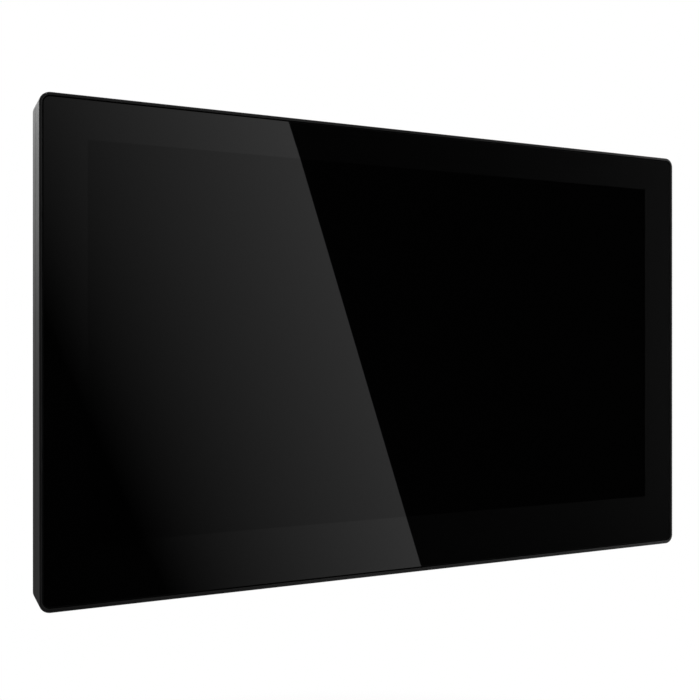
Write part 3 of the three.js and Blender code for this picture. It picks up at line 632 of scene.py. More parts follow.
# %% [markdown]
# ## Cover glass
# The glass is one polished plate. Behind it lies the black print of the border, and inside the
# print the window of the display, which is a shade darker. One mesh with three materials keeps the
# surface whole: the plate is divided by four planes along the window's edges, and the faces
# between them get the second material. The third is for the ground edge.

# %% Glass: rounded plate, cut along the window
glass_x, glass_y, glass_z = spans("cover_glass")
glass_corner, front_rounding, back_rounding = 2.2 * mm, 0.15 * mm, 0.1 * mm
glass_inset = glass_x[0] - panel_low.x
glass_panel = rounded_block("glass_panel", glass_x, glass_y, glass_z, glass_corner, steps=12)
round_rim(glass_panel, glass_y[0], glass_inset, front_rounding, 3)
round_rim(glass_panel, glass_y[1], glass_inset, back_rounding, 2)
raise_lower_edge(glass_panel, glass_inset)
for axis in "xz":
    for corner in (window_low, window_high):
        slice_at(glass_panel, axis, getattr(corner, axis))
smooth(glass_panel)

# %% [markdown]
# ## Nodes in few words
# A material is a small machine of nodes. These helpers add a node, set it and wire it in one line,
# so that each recipe below reads like a list of its ingredients. Sizes go in as metres: a noise
# with features of 0.2 mm has a scale of one over 0.2 mm.

# %% Helpers for nodes
def add_node(tree, kind, inputs=None, **settings):
    """Adds a node. An input is a value, or a socket to link from."""
    node = tree.nodes.new("ShaderNode" + kind)
    for name, value in settings.items():
        setattr(node, name, value)
    for key, value in (inputs or {}).items():
        if isinstance(value, bpy.types.NodeSocket):
            tree.links.new(value, node.inputs[key])
        else:
            node.inputs[key].default_value = value
    return node


def wire(node, **sources):
    """Links a socket to each named input of a node."""
    for name, source in sources.items():
        node.id_data.links.new(source, node.inputs[name.replace("_", " ")])


def calc(tree, operation, a, b=0.0):
    """One step of arithmetic."""
    return add_node(tree, "Math", {0: a, 1: b}, operation=operation).outputs[0]


def spread(tree, value, low, high, to_low=0.0, to_high=1.0):
    """Maps a value from one range to another, clamped."""
    inputs = {"Value": value, "From Min": low, "From Max": high, "To Min": to_low, "To Max": to_high}
    return add_node(tree, "MapRange", inputs).outputs[0]


def object_coordinates(tree):
    """Coordinates in metres that stay with the piece."""
    return add_node(tree, "TexCoord").outputs["Object"]


def object_axes(tree):
    """The same coordinates as three single values."""
    return add_node(tree, "SeparateXYZ", {"Vector": object_coordinates(tree)}).outputs


def noise(tree, size, detail=2.0):
    """Soft noise whose features have about the given size in metres."""
    inputs = {"Vector": object_coordinates(tree), "Scale": 1 / size, "Detail": detail}
    return add_node(tree, "TexNoise", inputs).outputs["Fac"]


def blend_colors(tree, mask, first, second):
    """The first colour where the mask is 0, the second where it is 1."""
    return add_node(tree, "Mix", {0: mask, 6: first, 7: second}, data_type="RGBA").outputs[2]


def grey(shade):
    """A neutral colour."""
    return (shade, shade, shade, 1.0)


# %% Helpers for materials and groups
def emptied_tree(owner):
    """The node tree of a material or a world, without its first nodes."""
    owner.use_nodes = True
    owner.node_tree.nodes.clear()
    return owner.node_tree


def new_material(name, **constants):
    """A material with one Principled shader; constants are set on its own sockets."""
    material = bpy.data.materials.new(name)
    tree = emptied_tree(material)
    shader = add_node(tree, "BsdfPrincipled")
    add_node(tree, "OutputMaterial", {"Surface": shader.outputs[0]})
    for key, value in constants.items():
        shader.inputs[key.replace("_", " ")].default_value = value
    return material, tree, shader


def new_group(name, inputs, outputs):
    """An empty node group with float inputs and outputs, and its two end nodes."""
    group = bpy.data.node_groups.new(name, "ShaderNodeTree")
    for socket, value in inputs.items():
        made = group.interface.new_socket(socket, in_out="INPUT", socket_type="NodeSocketFloat")
        made.default_value = value
    for socket in outputs:
        group.interface.new_socket(socket, in_out="OUTPUT", socket_type="NodeSocketFloat")
    start = group.nodes.new("NodeGroupInput").outputs
    return group, start, group.nodes.new("NodeGroupOutput")


def use_group(tree, group, **values):
    """Places a group in a material with its own values, and gives its outputs."""
    node = tree.nodes.new("ShaderNodeGroup")
    node.node_tree = group
    for name, value in values.items():
        node.inputs[name.replace("_", " ")].default_value = value
    return node.outputs


def add_bump(tree, shader, height, distance):
    """Feeds a height into the shader's normal."""
    bump = add_node(tree, "Bump", {"Height": height, "Distance": distance, "Strength": 1.0})
    wire(shader, Normal=bump.outputs[0])


# %% [markdown]
# ## Effects that several finishes share
# Moulded plastic takes the fine grain of its mould, which is spark-eroded steel. Sheet steel keeps
# the lines of the rollers. Both also vary slowly over the surface. A few specks of dust settle on
# the glass, and hands polish the edges. Each effect is a node group with a few named inputs.

# %% Grain of a spark-eroded mould
grain_group, start, end = new_group(
    "mould_grain", {"Grain Size": 0.2 * mm, "Patch Size": 30 * mm}, ["Height", "Patches"]
)
place = object_coordinates(grain_group)
finer = calc(grain_group, "DIVIDE", 1.0, start["Grain Size"])
broader = calc(grain_group, "DIVIDE", 1.0, start["Patch Size"])
pits = add_node(grain_group, "TexNoise", {"Vector": place, "Scale": finer, "Detail": 3.0})
patches = add_node(grain_group, "TexNoise", {"Vector": place, "Scale": broader, "Detail": 2.0})
cells = add_node(grain_group, "TexVoronoi", {"Vector": place, "Scale": finer})
rough_land = calc(grain_group, "MULTIPLY", cells.outputs["Distance"], 0.6)
height = calc(grain_group, "ADD", pits.outputs["Fac"], rough_land)
wire(end, Height=height, Patches=patches.outputs["Fac"])

# %% Lines of rolled or brushed sheet
rolled_group, start, end = new_group(
    "rolled_lines", {"Line Width": 0.06 * mm, "Stretch": 0.02}, ["Lines", "Stains"]
)
stretched = add_node(rolled_group, "CombineXYZ", {"X": start["Stretch"], "Y": 1, "Z": 1})
flattened = add_node(rolled_group, "Mapping", {
    "Vector": object_coordinates(rolled_group), "Scale": stretched.outputs[0],
})
finer = calc(rolled_group, "DIVIDE", 1.0, start["Line Width"])
lines = add_node(rolled_group, "TexNoise", {
    "Vector": flattened.outputs[0], "Scale": finer, "Detail": 3.0,
})
wire(end, Lines=lines.outputs["Fac"], Stains=noise(rolled_group, 14 * mm, 4.0))

# %% Sparse dust
dust_group, start, end = new_group("dust", {"Spacing": 2.5 * mm, "Speck Size": 0.035}, ["Specks"])
denser = calc(dust_group, "DIVIDE", 1.0, start["Spacing"])
cells = add_node(dust_group, "TexVoronoi", {"Vector": object_coordinates(dust_group), "Scale": denser})
ends_at = calc(dust_group, "MULTIPLY", start["Speck Size"], 1.6)
specks = spread(dust_group, cells.outputs["Distance"], start["Speck Size"], ends_at, 1.0, 0.0)
chosen = calc(dust_group, "GREATER_THAN", noise(dust_group, 9 * mm), 0.52)
wire(end, Specks=calc(dust_group, "MULTIPLY", specks, chosen))

# %% Edges that hands have polished
outline = {"Half Width": panel_high.x, "Half Height": panel_high.z, "Reach": 1.6 * mm}
edge_group, start, end = new_group("handled_edge", outline, ["Edge"])
axes = object_axes(edge_group)
across, upward = (
    calc(edge_group, "SUBTRACT", start[half], calc(edge_group, "ABSOLUTE", axes[axis]))
    for half, axis in (("Half Width", "X"), ("Half Height", "Z"))
)
forward = calc(edge_group, "SUBTRACT", axes["Y"], panel_low.y)
corner = calc(edge_group, "ADD", calc(edge_group, "MINIMUM", across, upward), forward)
wire(end, Edge=spread(edge_group, corner, 0.0, start["Reach"], 1.0, 0.0))
print(len(bpy.data.node_groups), "node groups")

# %% [markdown]
# ## Black moulded plastic
# The housing is a deep, neutral black with a satin surface. Its colour barely changes; what
# the eye reads is the roughness: a fine grain on the flats and smoother edges, where the mould
# was polished and hands touch it.

# %% Housing finish
def moulded_plastic(name, dark, light, roughness=0.42, grain=0.2 * mm, depth=0.012 * mm,
                    polish=0.0, gloss=0.5):
    """Moulded plastic between two close tones, with mould grain and polished edges."""
    material, tree, shader = new_material(name, Specular_IOR_Level=gloss)
    texture = use_group(tree, grain_group, Grain_Size=grain)
    patches = texture["Patches"]
    color = blend_colors(tree, spread(tree, patches, 0.3, 0.7), dark, light)
    base = spread(tree, patches, 0.3, 0.7, roughness - 0.03, roughness + 0.03)
    if polish:
        edge = use_group(tree, edge_group)["Edge"]
        base = calc(tree, "SUBTRACT", base, calc(tree, "MULTIPLY", edge, polish))
    wire(shader, Base_Color=color, Roughness=base)
    add_bump(tree, shader, texture["Height"], depth)
    return material


housing = moulded_plastic("satin_black_plastic", grey(0.003), grey(0.0045), polish=0.17, gloss=0.36)
coarse_plastic = moulded_plastic(
    "coarse_black_plastic", grey(0.004), grey(0.006), 0.56, grain=0.5 * mm, depth=0.05 * mm, gloss=0.36
)
print(housing.name, len(housing.node_tree.nodes), "nodes")

# %% [markdown]
# ## Glass over print
# Polished glass is a clear coat over a dark ground. Over the window the ground is the black
# display, which gives nothing back. Round it the ground is ink, which scatters a little light.

# %% Border and window of the glass
def coated_glass(name, ground, spacing, roughness, specular, ior):
    """A polished coat over a dark ground, with a speck of dust here and there."""
    material, tree, shader = new_material(
        name, Roughness=roughness, Specular_IOR_Level=specular,
        Coat_Weight=1.0, Coat_IOR=ior, Coat_Roughness=0.012,
    )
    specks = use_group(tree, dust_group, Spacing=spacing)["Specks"]
    wire(shader, Base_Color=blend_colors(tree, specks, grey(ground), grey(0.003)))
    return material


printed_glass = coated_glass(
    "printed_glass", 0.0002, spacing=2.5 * mm, roughness=0.4, specular=0.015, ior=1.56
)
display_glass = coated_glass(
    "display_glass", 0.0003, spacing=4 * mm, roughness=0.5, specular=0.0, ior=1.5
)

# %% Ground edge of the glass
ground_edge, tree, shader = new_material("ground_edge", Specular_IOR_Level=0.1)
texture = use_group(tree, grain_group, Grain_Size=0.05 * mm)
patches = texture["Patches"]
tone = blend_colors(tree, patches, grey(0.0012), grey(0.0022))
wire(shader, Base_Color=tone, Roughness=spread(tree, patches, 0.3, 0.7, 0.5, 0.6))
add_bump(tree, shader, texture["Height"], 0.004 * mm)
print(printed_glass.name, display_glass.name, ground_edge.name)

# %% [markdown]
# ## Dressing the big pieces
# Each new piece gets its material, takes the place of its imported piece, and rides on its body.

# %% Frame, base and glass take their places
def dress(piece, material, slot, *stands_for, body="front_unit"):
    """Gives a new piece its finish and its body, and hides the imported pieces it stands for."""
    piece.data.materials.clear()
    piece.data.materials.append(material)
    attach(piece, body)
    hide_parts(*stands_for)
    return piece


def dress_part(piece, material, test):
    """Gives a further finish to the faces whose centre and normal pass the test."""
    piece.data.materials.append(material)
    for face in piece.data.polygons:
        if test(face.center, face.normal):
            face.material_index = len(piece.data.materials) - 1


def in_window(centre):
    """True inside the display window."""
    return window_low.x < centre.x < window_high.x and window_low.z < centre.z < window_high.z


dress(frame_shell, housing, "housing", "front_frame")
dress(base_shell, housing, "housing", "rear_base", body="base")
dress_part(base_shell, coarse_plastic, lambda c, normal: level(c.y, -field_depth) and normal.y > 0.99)
dress(glass_panel, printed_glass, "cover_glass", "cover_glass")
dress_part(glass_panel, display_glass, lambda c, normal: normal.y < -0.99 and in_window(c))
dress_part(glass_panel, ground_edge, lambda c, normal: normal.y >= -0.99)

# %% [markdown]
# ## Screws
# Four screws hold the brackets of the display and four hold the board. A small pan-head screw is
# a turned and rolled part, so its body is a profile spun round its axis: the thread is a zigzag
# in that profile. The cross in its head is cut with two tapered bars.

# %% Steel finish
def metal(name, dark, light, roughness, line, stretch, depth=0.0):
    """Metal between two tones, with fine lines and faint stains."""
    material, tree, shader = new_material(name, Metallic=1.0)
    texture = use_group(tree, rolled_group, Line_Width=line, Stretch=stretch)
    stains = spread(tree, texture["Stains"], 0.3, 0.7)
    lined = spread(tree, texture["Lines"], 0.3, 0.7, -0.06, 0.06)
    base = spread(tree, stains, 0.0, 1.0, roughness, roughness + 0.08)
    color = blend_colors(tree, stains, dark, light)
    wire(shader, Base_Color=color, Roughness=calc(tree, "ADD", base, lined))
    if depth:
        add_bump(tree, shader, texture["Lines"], depth)
    return material


def warm_grey(value, warmth=0.03):
    """A metal's grey, a little warmer or, below zero, cooler than neutral."""
    return (value * (1 + warmth), value, value * (1 - warmth), 1.0)


plated_steel = metal(
    "zinc_plated_steel", warm_grey(0.42, -0.02), warm_grey(0.62, 0.02), 0.26, 0.1 * mm, stretch=0.6
)
sheet_steel = metal(
    "rolled_sheet_steel", warm_grey(0.4), warm_grey(0.47), 0.3, 0.12 * mm, 0.012, depth=0.003 * mm
)
tinned = metal("tinned_sheet", warm_grey(0.58, 0.01), warm_grey(0.72, 0.01), 0.3, 0.12 * mm, 0.3)
print(plated_steel.name, sheet_steel.name, tinned.name)


# %% Profiles that are spun round the Y axis
def profile_strip(name, points):
    """A chain of edges in the X-Y plane, extruded point by point from one vertex."""
    deselect_all()
    bpy.ops.mesh.primitive_plane_add(size=1)
    strip = settle(name)
    edit(strip, "VERT", "SELECT")
    bpy.ops.mesh.merge(type="CENTER")
    bpy.ops.transform.translate(value=(points[0][0], points[0][1], 0))
    for (x, y), (next_x, next_y) in zip(points, points[1:]):
        step = (next_x - x, next_y - y, 0)
        bpy.ops.mesh.extrude_region_move(TRANSFORM_OT_translate={"value": step})
    return strip


def turned_part(name, points, steps=24):
    """Spins a profile, given as radius and height, round the Y axis and closes it."""
    part = profile_strip(name, points)
    bpy.ops.mesh.select_all(action="SELECT")
    bpy.ops.mesh.spin(steps=steps, angle=2 * pi, center=(0, 0, 0), axis=(0, 1, 0))
    bpy.ops.mesh.select_all(action="SELECT")
    bpy.ops.mesh.remove_doubles(threshold=0.001 * mm)
    bpy.ops.mesh.normals_make_consistent(inside=False)
    deselect_all()
    return part


def rising_arc(centre, reach, steps, count):
    """The first points of a quarter circle, in steps from its side up to its top."""
    angles = [step / steps * pi / 2 for step in range(1, count + 1)]
    return [(centre[0] + reach[0] * cos(angle), centre[1] + reach[1] * sin(angle)) for angle in angles]


# %% Pan-head screws
head_radius, head_height, shank_radius = 1.9 * mm, 1.2 * mm, mm
thread_pitch, thread_depth = 0.4 * mm, 0.12 * mm
recess_long, recess_wide, recess_deep = 1.15 * mm, 0.26 * mm, 0.62 * mm


def pan_screw(name, shank_length):
    """A cross-recessed screw with its head on y = 0 and its shank towards -y."""
    core = shank_radius - thread_depth
    points = [(0, -shank_length), (shank_radius * 0.7, -shank_length)]
    for turn in range(int((shank_length - 0.5 * mm) / thread_pitch)):
        valley = -shank_length + 0.3 * mm + turn * thread_pitch
        points += [(core, valley), (shank_radius, valley + thread_pitch / 2)]
    points += [(core, -0.1 * mm), (core, 0), (head_radius * 0.96, 0)]
    points += [(head_radius, 0.1 * mm), (head_radius, head_height * 0.5)]
    centre, reach = (head_radius * 0.45, head_height * 0.5), (head_radius * 0.55, head_height * 0.5)
    points += rising_arc(centre, reach, 6, 5) + [(0, head_height)]
    screw = turned_part(name, points)
    recess_y = (head_height - recess_deep, head_height + 0.3 * mm)
    for half_x, half_z in ((recess_long, recess_wide), (recess_wide, recess_long)):
        bar = block("recess", (-half_x, half_x), recess_y, (-half_z, half_z))
        pick_faces(bar, lambda centre, normal: normal.y < -0.99)
        bpy.ops.transform.resize(value=(0.55, 1, 0.55))
        cut(screw, bar)
    return smooth(screw)


def stand_screws(kind, pattern, height, count):
    """Copies a screw that rises to a height over its seat to the top of each packed screw."""
    for number in range(1, count + 1):
        node = f"{kind}_{number}"
        middle, top = centre_of(node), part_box(node)[1].y
        screw = copy_to(pattern, f"{node}_turned", (middle.x, top - height, middle.z))
        dress(screw, plated_steel, "screw_steel", node)
    bpy.data.objects.remove(pattern)


for kind in ("bracket_screw", "board_screw"):
    low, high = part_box(f"{kind}_1")
    stand_screws(kind, pan_screw("pattern", high.y - low.y - head_height), head_height, 4)

# %% [markdown]
# ## Display tray
# The tray that holds the display's sheets is pressed from thin steel. Long beads stiffen it,
# because a flat sheet of that size would rattle. Each bead is a low rounded block whose rim is
# bevelled, and the low blocks are added to the back of the tray.

# %% Tray: folded sheet with beads and board bosses
tray_steel, tray_floor, screw_boss = 0.4 * mm, -8.8 * mm, 2.6 * mm
tray_shell = rounded_block(
    "tray_shell", tray_x, (tray_y[0], tray_back), tray_z, 0.5 * mm, steps=4
)
sink_face(tray_shell, tray_y[0], tray_steel, tray_floor - tray_y[0])
board_low, board_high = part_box("main_board")
board_spots = [centre_of(f"board_screw_{number}") for number in range(1, 5)]
bead_wide, bead_height, bead_root, bead_slope = 6 * mm, 0.45 * mm, 0.2 * mm, 0.3 * mm
bead_x, short_bead_x = 88 * mm, (34 * mm, 80 * mm)


def add_bead(x, z):
    """Adds a pressed bead with sloping sides to the back of the tray."""
    radius, top = min(x[1] - x[0], z[1] - z[0]) * 0.48, tray_back + bead_height
    raised = rounded_block("bead", x, (tray_back - bead_root, top), z, radius, steps=6)
    bevel(raised, bead_slope, 3, at_y(top))
    add(tray_shell, raised)


for side in (-1, 1):
    add_bead(sorted((side * bead_x, side * (bead_x + bead_wide))), grown(tray_z, -14 * mm))
    for z in (24 * mm, 40 * mm, 56 * mm):
        add_bead(sorted(side * end for end in short_bead_x), (z, z + bead_wide))
boss_y = (tray_back - bead_root, board_low.y - seat)
for spot in board_spots:
    add(tray_shell, rod("boss", screw_boss, *boss_y, spot.x, spot.z))
    drill(tray_shell, pilot_radius, tray_floor - mm, board_low.y, spot.x, spot.z)
ribbon_x = spans("lcd_ribbon")[0]
notch_y, notch_z = (tray_y[0] - mm, -10.85 * mm), around(tray_z[0], 2 * mm)
carve(tray_shell, grown(ribbon_x, mm), notch_y, notch_z)
dress(smooth(tray_shell), sheet_steel, "sheet_steel", "lcd_tray")

# %% [markdown]
# ## Main board
# A circuit board is glass cloth and resin under green solder resist. Copper tracks lie under the
# resist: they show as slightly raised, lighter lines, in bundles that run across, up or slanted.
# The node group picks a direction for each patch of board and draws even lines there.

# %% Tracks and vias as a node group
def even_lines(tree, coordinate, pitch, share):
    """Lines of an even pitch, of which the given share is filled."""
    steps = calc(tree, "FRACT", calc(tree, "DIVIDE", coordinate, pitch))
    from_middle = calc(tree, "ABSOLUTE", calc(tree, "SUBTRACT", steps, 0.5))
    return calc(tree, "LESS_THAN", from_middle, share / 2)


tracks_group, start, end = new_group(
    "board_tracks", {"Track Pitch": 0.9 * mm, "Patch": 7 * mm}, ["Tracks", "Vias"]
)
place, axes, pitch = object_coordinates(tracks_group), object_axes(tracks_group), start["Track Pitch"]
patch = add_node(tracks_group, "TexVoronoi", {
    "Vector": place, "Scale": calc(tracks_group, "DIVIDE", 1.0, start["Patch"]), "Randomness": 0.6,
}, distance="CHEBYCHEV")
choice = add_node(tracks_group, "SeparateXYZ", {"Vector": patch.outputs["Color"]}).outputs
slant = calc(tracks_group, "ADD", axes["X"], axes["Z"])
slant_pitch = calc(tracks_group, "MULTIPLY", pitch, 1.414)
drawn = 0.0
for coordinate, step, drawn_where, limit, draw in (
    (axes["X"], pitch, "LESS_THAN", 0.34, "X"),
    (axes["Z"], pitch, "GREATER_THAN", 0.62, "X"),
    (slant, slant_pitch, "GREATER_THAN", 0.82, "Y"),
):
    chosen = calc(tracks_group, drawn_where, choice[draw], limit)
    bundle = calc(tracks_group, "MULTIPLY", even_lines(tracks_group, coordinate, step, 0.42), chosen)
    drawn = calc(tracks_group, "MAXIMUM", bundle, drawn)
spots = add_node(tracks_group, "TexVoronoi", {
    "Vector": place, "Scale": 1 / (4.2 * mm), "Randomness": 0.7,
}).outputs["Distance"]
wire(end, Tracks=drawn, Vias=spread(tracks_group, spots, 0.075, 0.09, 1.0, 0.0))

# %% Solder resist
board_finish, tree, shader = new_material("green_solder_resist", Coat_Weight=0.25, Coat_Roughness=0.15)
copper, shade = use_group(tree, tracks_group), noise(tree, 12 * mm)
ground = blend_colors(tree, shade, (0.006, 0.058, 0.026, 1), (0.009, 0.075, 0.036, 1))
lined = blend_colors(tree, copper["Tracks"], ground, (0.022, 0.15, 0.07, 1))
dotted = blend_colors(tree, copper["Vias"], lined, (0.42, 0.36, 0.24, 1))
wire(shader, Base_Color=dotted, Roughness=spread(tree, shade, 0.3, 0.7, 0.32, 0.42))
add_bump(tree, shader, calc(tree, "ADD", copper["Tracks"], copper["Vias"]), 0.03 * mm)

# %% [markdown]
# The board itself is replaced by a block with rounded corners, drilled at its four screws, with
# bare tinned rings round the holes. White ink marks the place of every part with a thin frame.

# %% Board with rings round its screw holes
hole_radius, ring_radius = 1.3 * mm, 2.3 * mm
ring_y = (board_high.y - 0.02 * mm, board_high.y + 0.03 * mm)
board_corner = 1.5 * mm
board_plate = rounded_block("board_plate", *spans("main_board"), board_corner, steps=6)
rings = []
for spot in board_spots:
    through = (board_low.y - mm, board_high.y + mm, spot.x, spot.z)
    drill(board_plate, hole_radius, *through)
    rings.append(rod("ring", ring_radius, *ring_y, spot.x, spot.z))
    drill(rings[-1], hole_radius, *through)
dress(smooth(board_plate), board_finish, "circuit_board", "main_board")
dress(smooth(join("hole_rings", rings)), tinned, "screw_steel")


# %% White ink round the parts
def even_finish(name, dark, light, roughness, depth=0.006 * mm, grain=0.12 * mm):
    """A matt finish between two close tones, with a faint grain."""
    material, tree, shader = new_material(name)
    texture = use_group(tree, grain_group, Grain_Size=grain, Patch_Size=6 * mm)
    mask = spread(tree, texture["Patches"], 0.35, 0.65)
    rough = spread(tree, mask, 0.0, 1.0, roughness, roughness + 0.07)
    wire(shader, Base_Color=blend_colors(tree, mask, dark, light), Roughness=rough)
    add_bump(tree, shader, texture["Height"], depth)
    return material


white_ink = even_finish("white_ink", grey(0.6), grey(0.68), 0.5)
ink_width, ink_margin, ink_height = 0.2 * mm, 0.5 * mm, 0.02 * mm
marked = ["processor_shield", "memory_chip", "power_chip", "power_inductor", "tamper_switch"]
marked += [f"capacitor_{number}" for number in (1, 2, 3)]
frames = []
for node in marked:
    x, y, z = spans(node)
    ink_x, ink_z = grown(x, ink_margin), grown(z, ink_margin)
    frames.append(block("ink", ink_x, (board_high.y, board_high.y + ink_height), ink_z))
    hole_x, hole_z = grown(ink_x, -ink_width), grown(ink_z, -ink_width)
    carve(frames[-1], hole_x, (board_low.y, board_high.y + mm), hole_z)
ink_frames = dress(join("ink_frames", frames), white_ink, "circuit_board")
print(ink_frames.name, len(ink_frames.data.polygons), "faces")

# %% [markdown]
# ## Small parts on the board
# Most of what fills a board are chip resistors and capacitors, smaller than a grain of rice: a
# ceramic block with a tinned cap at each end. One is modelled, bevelled and cut where the caps
# begin, and its copies stand in rows next to the larger parts that they serve.

# %% Chip resistor and chip capacitor
black_ceramic = even_finish("black_ceramic", grey(0.012), grey(0.02), 0.35)
tan_ceramic = even_finish("tan_ceramic", (0.3, 0.19, 0.1, 1), (0.36, 0.24, 0.13, 1), 0.4)
solder_gap = 0.03 * mm


def chip_part(name, length, width, tall, body):
    """A two-ended chip on the board's back, lying along X in the middle of the board's face."""
    foot, cap = board_high.y + solder_gap, length / 2 - 0.3 * mm
    part = block(name, around(0, length), (foot, foot + tall), around(0, width))
    bevel(part, 0.06 * mm, 1, everywhere)
    for x in (-cap, cap):
        slice_at(part, "x", x)
    part.data.materials.append(body)
    dress_part(part, tinned, lambda centre, normal: abs(centre.x) > cap)
    return part


def stand_rows(name, pattern, rows):
    """Rows of copies, joined into one piece. An upright row's parts are turned to lie along Z."""
    made = []
    for count, first, step, upright in rows:
        for number in range(count):
            shift = Vector((first[0] + number * step[0], 0, first[1] + number * step[1]))
            made.append(copy_to(pattern, "part", shift))
            if upright:
                turn_round(made[-1], pi / 2, shift)
    whole = join(name, made)
    bpy.data.objects.remove(pattern)
    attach(whole, "front_unit")
    print(name, len(made), "copies")


shield_low, shield_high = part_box("processor_shield")
memory, coil = centre_of("memory_chip"), centre_of("power_inductor")
socket_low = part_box("card_socket")[0]
service_low, service_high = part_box("service_socket")
pole_low, pole_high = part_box("terminal_screw_1")
pole = centre_of("terminal_screw_1")
pole_step, pole_count = centre_of("terminal_screw_2").x - pole.x, 8
strip_z, plug_z = board_high.z - 9 * mm, board_low.z + 8.2 * mm
touch_x, lcd_x = centre_of("touch_connector").x, centre_of("lcd_connector").x
resistor_rows = [
    (8, (pole.x, strip_z), (pole_step, 0), True),
    (8, (shield_low.x - 3 * mm, shield_low.z + 3 * mm), (0, 2.4 * mm), False),
    (6, (touch_x - 6.5 * mm, plug_z), (2.6 * mm, 0), True),
    (7, (lcd_x + 4 * mm, plug_z), (2.2 * mm, 0), True),
    (4, (service_high.x + 3 * mm, service_low.z + 0.6 * mm), (0, 2.1 * mm), False),
    (5, (socket_low.x - 3 * mm, socket_low.z + mm), (0, 2.4 * mm), False),
    (5, (memory.x - 4.4 * mm, memory.z - 7.6 * mm), (2.2 * mm, 0), True),
]
capacitor_rows = [
    (8, (pole.x, strip_z - 3.4 * mm), (pole_step, 0), True),
    (6, (shield_low.x + 3 * mm, shield_low.z - 2.6 * mm), (4.6 * mm, 0), False),
    (7, (lcd_x - 13 * mm, plug_z), (2.2 * mm, 0), True),
    (3, (coil.x + 8.2 * mm, coil.z - 3.6 * mm), (0, 3.6 * mm), True),
    (4, (memory.x - 3.6 * mm, memory.z + 7.4 * mm), (2.4 * mm, 0), True),
    (3, (socket_low.x - 6.5 * mm, socket_low.z + 2 * mm), (0, 3.4 * mm), False),
]
resistor = chip_part("resistor", 1.6 * mm, 0.8 * mm, 0.45 * mm, black_ceramic)
stand_rows("chip_resistors", resistor, resistor_rows)
ceramic = chip_part("ceramic", 2.0 * mm, 1.25 * mm, 0.9 * mm, tan_ceramic)
stand_rows("chip_capacitors", ceramic, capacitor_rows)

# %% [markdown]
# ## Shield can
# Over the processor sits a can of tinned steel that keeps its radio noise in. It is drawn from
# sheet, so its upper rim is round, and a field of small holes lets the heat out.

# %% Can with a rounded rim and a field of holes
can_steel, can_corner, can_rounding = 0.3 * mm, 0.8 * mm, 0.35 * mm
vent_radius, hole_count, hole_pitch = 0.6 * mm, 6, 2.6 * mm
shield_top = shield_high.y
shield_can = rounded_block("shield_can", *spans("processor_shield"), can_corner, steps=5)
bevel(shield_can, can_rounding, 3, at_y(shield_top))
sink_face(shield_can, shield_low.y, can_steel, shield_top - shield_low.y - can_steel)
first_hole = centre_of("processor_shield") - Vector((1, 0, 1)) * (hole_count - 1) / 2 * hole_pitch
holes_y = around(shield_top, 2 * mm)
holes = rod("holes", vent_radius, *holes_y, first_hole.x, first_hole.z, sides=16)
for step in ((hole_pitch, 0, 0), (0, 0, hole_pitch)):
    repeat(holes, hole_count, step)
cut(shield_can, holes)
dress(smooth(shield_can), tinned, "tinned_steel", "processor_shield")

# %% [markdown]
# ## Chips and their legs
# A chip is a block of black moulding compound with a small round mark beside its first leg. The
# power chip stands on bent legs of tinned copper: each starts as a thin bar that sticks out of
# the body, and its end is extruded in two steps, down and along the board.

# %% Chip bodies with a first-leg mark
moulding = even_finish("black_moulding", grey(0.014), grey(0.02), 0.5, depth=0.01 * mm, grain=0.06 * mm)


def chip_body(name, node, slope, mark):
    """A moulded block with sloping upper sides and a round mark in one corner."""
    low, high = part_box(node)
    body = block(name, *spans(node))
    bevel(body, slope, 1, at_y(high.y))
    bevel(body, 0.08 * mm, 2, lambda a, b: a.y != b.y and level(min(a.y, b.y), low.y))
    mark_y, inward = (high.y - 0.08 * mm, high.y + mm), slope + 2.2 * mark
    drill(body, mark, *mark_y, high.x - inward, low.z + inward, sides=20)
    dress(smooth(body), moulding, "chip", node)


chip_body("memory_body", "memory_chip", 0.12 * mm, 0.45 * mm)
chip_body("power_body", "power_chip", 0.22 * mm, 0.3 * mm)
chip_body("processor_body", "processor", 0.15 * mm, 0.6 * mm)

# %% Legs of the power chip
power, power_back = centre_of("power_chip"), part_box("power_chip")[1].z
leg_wide, leg_thick, leg_pitch, leg_count = 0.42 * mm, 0.18 * mm, 1.27 * mm, 4
leg_y, leg_slant, foot_long = power.y - 0.1 * mm, 0.28 * mm, 0.55 * mm
first_leg = around(power.x - (leg_count - 1) / 2 * leg_pitch, leg_wide)
leg_z = (power_back - 0.2 * mm, power_back + 0.15 * mm)
leg = block("leg", first_leg, (leg_y, leg_y + leg_thick), leg_z)
pick_faces(leg, lambda centre, normal: normal.z > 0.99)
drop = board_high.y + 0.05 * mm - leg_y
for step in ((0, drop, leg_slant), (0, 0, foot_long)):
    bpy.ops.mesh.extrude_region_move(TRANSFORM_OT_translate={"value": step})
repeat(leg, leg_count, (leg_pitch, 0, 0))
other_side = copy_to(leg, "other_legs", (0, 0, 0))
turn_round(other_side, pi, power)
dress(smooth(join("power_legs", [leg, other_side])), tinned, "tinned_steel")

# %% Coil: a square of ferrite with a round core
ferrite_grey = even_finish("grey_ferrite", grey(0.05), grey(0.075), 0.55, depth=0.012 * mm)
coil_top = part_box("power_inductor")[1].y
core_radius, ring_wide, ring_deep = 3.4 * mm, 0.5 * mm, 0.35 * mm
coil_corner, coil_rounding = 1.6 * mm, 0.3 * mm
coil_body = rounded_block("coil_body", *spans("power_inductor"), coil_corner, steps=5)
bevel(coil_body, coil_rounding, 3, at_y(coil_top))
groove_y = (coil_top - ring_deep, coil_top + mm)
groove = rod("groove", core_radius + ring_wide, *groove_y, coil.x, coil.z, sides=48)
drill(groove, core_radius, coil_top - mm, coil_top + 2 * mm, coil.x, coil.z, sides=48)
cut(coil_body, groove)
dress(smooth(coil_body), ferrite_grey, "ferrite", "power_inductor")

